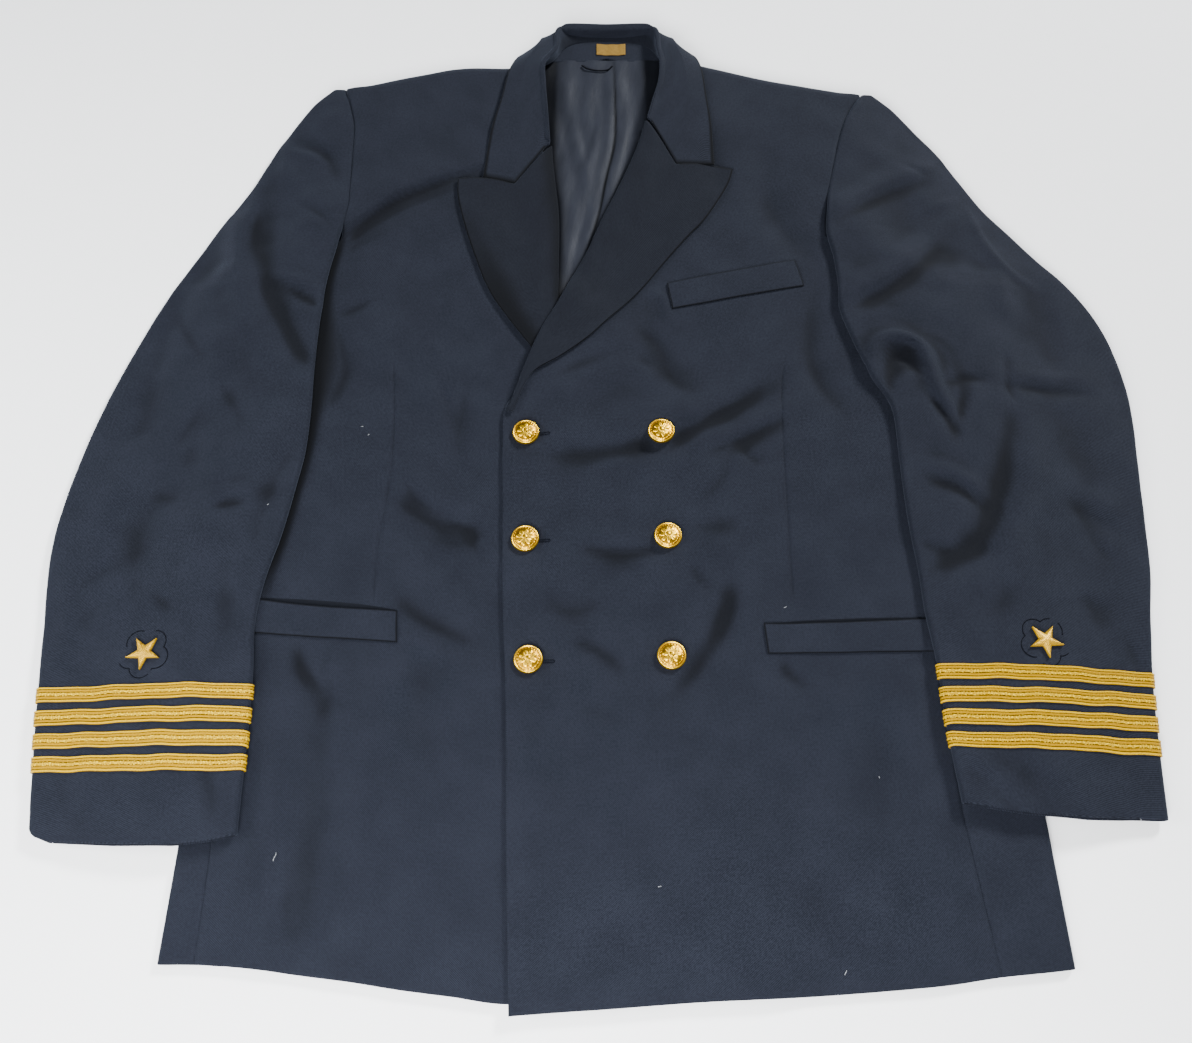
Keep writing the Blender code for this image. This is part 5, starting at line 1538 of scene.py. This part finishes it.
def starPiece(side):
    # ten facets between the ridges to the points and the valleys to the inner corners; on
    # each, satin stitches run from ridge to edge
    cx, cy, turn = stars["places"][side]
    angle = np.radians(turn) + np.arange(11) * math.pi / 5
    radius = np.where(np.arange(11) % 2 == 0, stars["span"] / 2 / 0.95, stars["span"] / 2 * stars["waist"])
    rim = np.stack([radius * np.cos(angle), radius * np.sin(angle)], axis=-1)
    pieces = []
    v = np.linspace(0, 1, 61)[:, None]
    u = np.linspace(0, 1, 9)[None]
    for k in range(10):
        tip, corner = (rim[k], rim[k + 1]) if k % 2 == 0 else (rim[k + 1], rim[k])
        ridge = tip * v
        edge = corner + (tip - corner) * v
        place = ridge[:, None] * (1 - u[..., None]) + edge[:, None] * u[..., None]
        height = stars["low"] + (stars["high"] - stars["low"]) * (1 - 0.45 * v) * np.sqrt(1 - 0.92 * u ** 2)
        height = height + 0.16 * np.abs(np.sin(math.pi * (v * stars["stitches"] + 0.8 * u))) * (1 - 0.3 * u)
        x, y = place[..., 0] + cx, place[..., 1] + cy
        base = starHeight(side, x, y)
        topFace = np.stack([x, y, base + height], axis=-1)
        foot = topFace[:, -1:].copy()
        foot[..., 2] = base[:, -1:] + 0.1
        grid = np.concatenate([topFace, foot], axis=1)
        index = np.arange(grid.shape[0] * grid.shape[1]).reshape(grid.shape[:2])
        pieces.append(meshFrom("facet", grid.reshape(-1, 3), gridQuads(index), goldThread))
    made = joined("star" + side.capitalize(), pieces)
    work = bmesh.new()
    work.from_mesh(made.data)
    bmesh.ops.remove_doubles(work, verts=work.verts, dist=0.00002)
    bmesh.ops.holes_fill(work, edges=[e for e in work.edges if e.is_boundary], sides=0)
    bmesh.ops.recalc_face_normals(work, faces=work.faces)
    work.to_mesh(made.data)
    work.free()
    made.data.shade_smooth()
    return made


loops = {"reach": 15.0, "lobe": 4.6, "radius": 0.28, "arcs": {
    "right": [(-60, 70), (100, 160), (205, 290)], "left": [(70, 235), (255, 330), (20, 50)]}}


def loopPath(side, start, end):
    # five lobes round the star: reach + lobe * |cos(2.5 angle)|
    cx, cy, turn = stars["places"][side]
    angle = np.radians(np.linspace(start, end, max(24, int(abs(end - start)))))
    radius = loops["reach"] + loops["lobe"] * np.abs(np.cos(2.5 * (angle - math.radians(turn)))) ** 0.8
    x, y = cx + radius * np.cos(angle), cy + radius * np.sin(angle)
    return np.stack([x, y, starHeight(side, x, y) + 0.15], axis=-1)


for side in ("right", "left"):
    settle(starPiece(side), ["star_" + side])
    arcs = [tube("loop", loopPath(side, *arc), loops["radius"], darkThread)
            for arc in loops["arcs"][side]]
    settle(joined("starLoops" + side.capitalize(), arcs))
print("stars made")


def buttonSurface(r, a, number):
    # domed face with a rope rim: dome, twisted rope, ring of beads, and petals round a boss
    edge = buttons["domeEdge"]
    dome = buttons["rim"] + buttons["dome"] * np.sqrt(np.clip(1 - (r / edge) ** 2, 0, 1)) * (r < edge)
    rope = np.exp(-((r - 0.925) / 0.055) ** 2) * (1.25 + 0.28 * np.sin(36 * a + 9 * (r - 0.92) * 10))
    bead = np.exp(-((r - 0.76) / 0.035) ** 2) * (0.5 + 0.5 * np.cos(buttons["beads"] * a)) * 0.55
    petal = np.abs(np.cos(buttons["petals"] / 2 * a + number)) ** 0.7
    shape = smooth((0.28 + 0.38 * petal - r) / 0.07) * smooth((r - 0.16) / 0.05)
    vein = 0.16 * np.abs(np.cos(buttons["petals"] * 1.5 * a))
    boss = 0.5 * np.sqrt(np.clip(1 - (r / 0.15) ** 2, 0, 1))
    relief = rope + bead + (0.62 - vein) * shape + boss
    lip = np.clip((1 - r) / 0.03, 0, 1) ** 0.5
    return (dome + relief * 0.85) * lip + 1.3 * (1 - lip), relief


def buttonPiece(number, x, y):
    # rings of the face from its middle out, then the skirt back in beneath it, both closed
    r = np.concatenate([np.linspace(0.02, 0.97, buttons["rings"] - 4), [0.98, 0.99, 0.996, 1.0]])[:, None]
    a = np.linspace(0, 2 * math.pi, buttons["spokes"], endpoint=False)[None]
    height, relief = buttonSurface(r, a, number * 0.7)
    radius = buttons["width"] / 2
    turn = np.linspace(0, 2 * math.pi, 12)
    under = frontHeight("left", x + 0.8 * radius * np.cos(turn), y + 0.8 * radius * np.sin(turn))
    base = float(under.mean() + under.max()) / 2 + 0.3
    lean = 0.012 * (r * radius) * np.sin(a + number)
    px, py = x + radius * r * np.cos(a), y + radius * r * np.sin(a)
    face = np.stack([px, py, base + height + lean], axis=-1)
    skirt = []
    for share, low in ((0.985, 0.6), (0.93, 0.1), (0.6, 0.0), (0.1, 0.0)):
        skirt.append(np.stack([x + radius * share * np.cos(a), y + radius * share * np.sin(a),
                               np.full(a.shape, base + low)], axis=-1))
    grid = np.concatenate([face] + skirt)
    rows, count = grid.shape[:2]
    index = np.arange(rows * count).reshape(rows, count)
    wrapped = np.concatenate([index, index[:, :1]], axis=1)
    caps = []
    for row in (index[0], index[-1]):
        half = count // 2
        other = row[::-1]
        caps.append(np.stack([row[:half - 1], row[1:half], other[1:half], other[:half - 1]], axis=-1))
    quads = np.concatenate([gridQuads(wrapped)] + caps)
    made = meshFrom("button%d" % (number + 1), grid.reshape(-1, 3), quads, giltBrass)
    # painted shade: the gilt is painted darkest where its relief is lowest
    shade = np.concatenate([np.clip(0.15 + relief * 1.25, 0, 1), np.full((4, count), 0.6)])
    markPoints(made, "relief", shade)
    return made


for number, (x, y) in enumerate(buttons["places"]):
    settle(buttonPiece(number, x, y), ["button_%d" % (number + 1)])
print("buttons made")

# Buttonholes run from start to end beside their buttons, in stitches of the given radius.
buttonholes = {"start": 8.0, "end": 18.8, "half": 0.95, "points": 60, "radius": 0.33}


def buttonholePath(x, y):
    # a long loop of stitches: two straight sides joined by a round eye at each end
    straight = np.linspace(buttonholes["start"], buttonholes["end"], buttonholes["points"])
    turn = np.linspace(-math.pi / 2, math.pi / 2, 16)[1:-1]
    half = buttonholes["half"]
    upper = np.stack([straight[::-1], np.full(len(straight), half)], axis=-1)
    lower = np.stack([straight, np.full(len(straight), -half)], axis=-1)
    far = np.stack([buttonholes["end"] + half * np.cos(turn), half * np.sin(turn)], axis=-1)
    near = np.stack([buttonholes["start"] - half * np.cos(turn), -half * np.sin(turn)], axis=-1)
    path = np.concatenate([lower, far, upper, near])
    px, py = x + path[:, 0], y - 1.0 + path[:, 1]
    return np.stack([px, py, frontHeight("left", px, py) + 0.35], axis=-1)


for number, (x, y) in enumerate(buttons["places"][:3]):
    path = buttonholePath(x, y)
    radius = buttonholes["radius"] * (0.82 + 0.18 * np.sin(np.arange(len(path)) * 2.1))
    stitches = tube("buttonhole%d" % (number + 1), path, radius, navyThread, closed=True)
    settle(stitches)
print("buttonholes made")

lint = {
    "radius": 0.28,
    "fibres": [    # stray light fibres on the cloth: place, turn in degrees and length
        (-225, -263, 80, 6.0), (-195, 84, 10, 1.6), (-189, 76, 60, 1.4), (146, -77, 30, 2.0),
        (205, -207, 120, 1.6), (168, -338, 70, 3.0), (44, -283, 15, 1.8), (-262, 8, 40, 1.5)],
}
pieces = []
for x, y, turn, length in lint["fibres"]:
    along = np.linspace(-0.5, 0.5, 9) * length
    px = x + along * math.cos(math.radians(turn)) + 0.3 * np.sin(along)
    py = y + along * math.sin(math.radians(turn))
    side = "right" if x < -70 else "left"
    if x < -250:
        z = sleeveTop(side, px, py, np.full(9, 0.1)) + 0.4
    else:
        z = frontHeight(side, px, py) + 0.3
    pieces.append(tube("lint", np.stack([px, py, z], axis=-1), lint["radius"], paleFibre, around=6))
settle(joined("lint", pieces))
print("lint made")

hanger = {
    "path": [(-14, 497, 8.0), (-9, 492, 8.8), (1, 489, 9.0), (11, 490, 8.8), (16, 496, 8.0)],
    "radius": 0.7,
}
path = rowsThrough(hanger["path"], np.linspace(0, len(hanger["path"]) - 1, 40))
settle(tube("hangerLoop", path, hanger["radius"], darkThread))

# Floor, light and camera.
stage = {
    "floor": (0.90, 0.90, 0.90),
    "floorSpeck": (0.92, 0.92, 0.92),
    "floorHalf": 4.0,
    "floorLevel": -0.0004,
    "world": ((0.90, 0.95, 1.0), 0.16),
    "lights": [    # name, place, aim, size, watts, colour
        ("keyLight", (2.55, 2.7, 2.35), (0.0, 0.0, 0.0), 0.85, 480.0, (0.96, 0.98, 1.0)),
        ("hemLight", (-0.15, -1.0, 0.75), (-0.05, -0.38, 0.0), 0.6, 44.0, (0.97, 0.98, 1.0)),
        ("leftLight", (-1.15, -0.25, 0.75), (-0.35, -0.1, 0.0), 0.6, 22.0, (0.95, 0.98, 1.0)),
    ],
    "cameraPlace": (-0.0097, -0.4694, 0.80395),
    "cameraTilt": 25.22,         # degrees from looking straight down
    "lens": 33.22,
}


def makeStage():
    # a pale floor, a soft world, area lights that face their aims, and the photo's camera
    made, tree, shader = newMaterial("paleFloor", {"Roughness": 0.9, "Specular IOR Level": 0.1})
    place = addNode(tree, "TexCoord").outputs["Object"]
    grain = addNode(tree, "TexNoise", {"Vector": place, "Scale": 40.0}).outputs["Fac"]
    paint(tree, shader, grain, stage["floor"], stage["floorSpeck"])
    half, level = stage["floorHalf"], stage["floorLevel"]
    corners = [(-half, -half, level), (half, -half, level), (half, half, level), (-half, half, level)]
    mesh = bpy.data.meshes.new("floor")
    mesh.from_pydata(corners, [], [(0, 1, 2, 3)])
    mesh.materials.append(made)
    floor = bpy.data.objects.new("floor", mesh)
    bpy.context.scene.collection.objects.link(floor)
    world = bpy.data.worlds.new("studio")
    world.use_nodes = True
    colour, strength = stage["world"]
    background = world.node_tree.nodes["Background"]
    background.inputs["Color"].default_value = (*colour, 1.0)
    background.inputs["Strength"].default_value = strength
    bpy.context.scene.world = world
    for name, place, aim, size, watts, colour in stage["lights"]:
        light = bpy.data.lights.new(name, "AREA")
        light.size = size
        light.energy = watts
        light.color = colour
        lamp = bpy.data.objects.new(name, light)
        lamp.location = place
        direction = np.array(aim) - np.array(place)
        lamp.rotation_euler = (math.atan2(math.hypot(direction[0], direction[1]), -direction[2]), 0,
                               math.atan2(direction[1], direction[0]) - math.pi / 2)
        bpy.context.scene.collection.objects.link(lamp)
    lens = bpy.data.cameras.new("camera")
    lens.lens = stage["lens"]
    lens.sensor_width = 36.0
    camera = bpy.data.objects.new("camera", lens)
    camera.location = stage["cameraPlace"]
    camera.rotation_euler = (math.radians(stage["cameraTilt"]), 0, 0)
    bpy.context.scene.collection.objects.link(camera)
    bpy.context.scene.camera = camera


makeStage()
print("stage made")
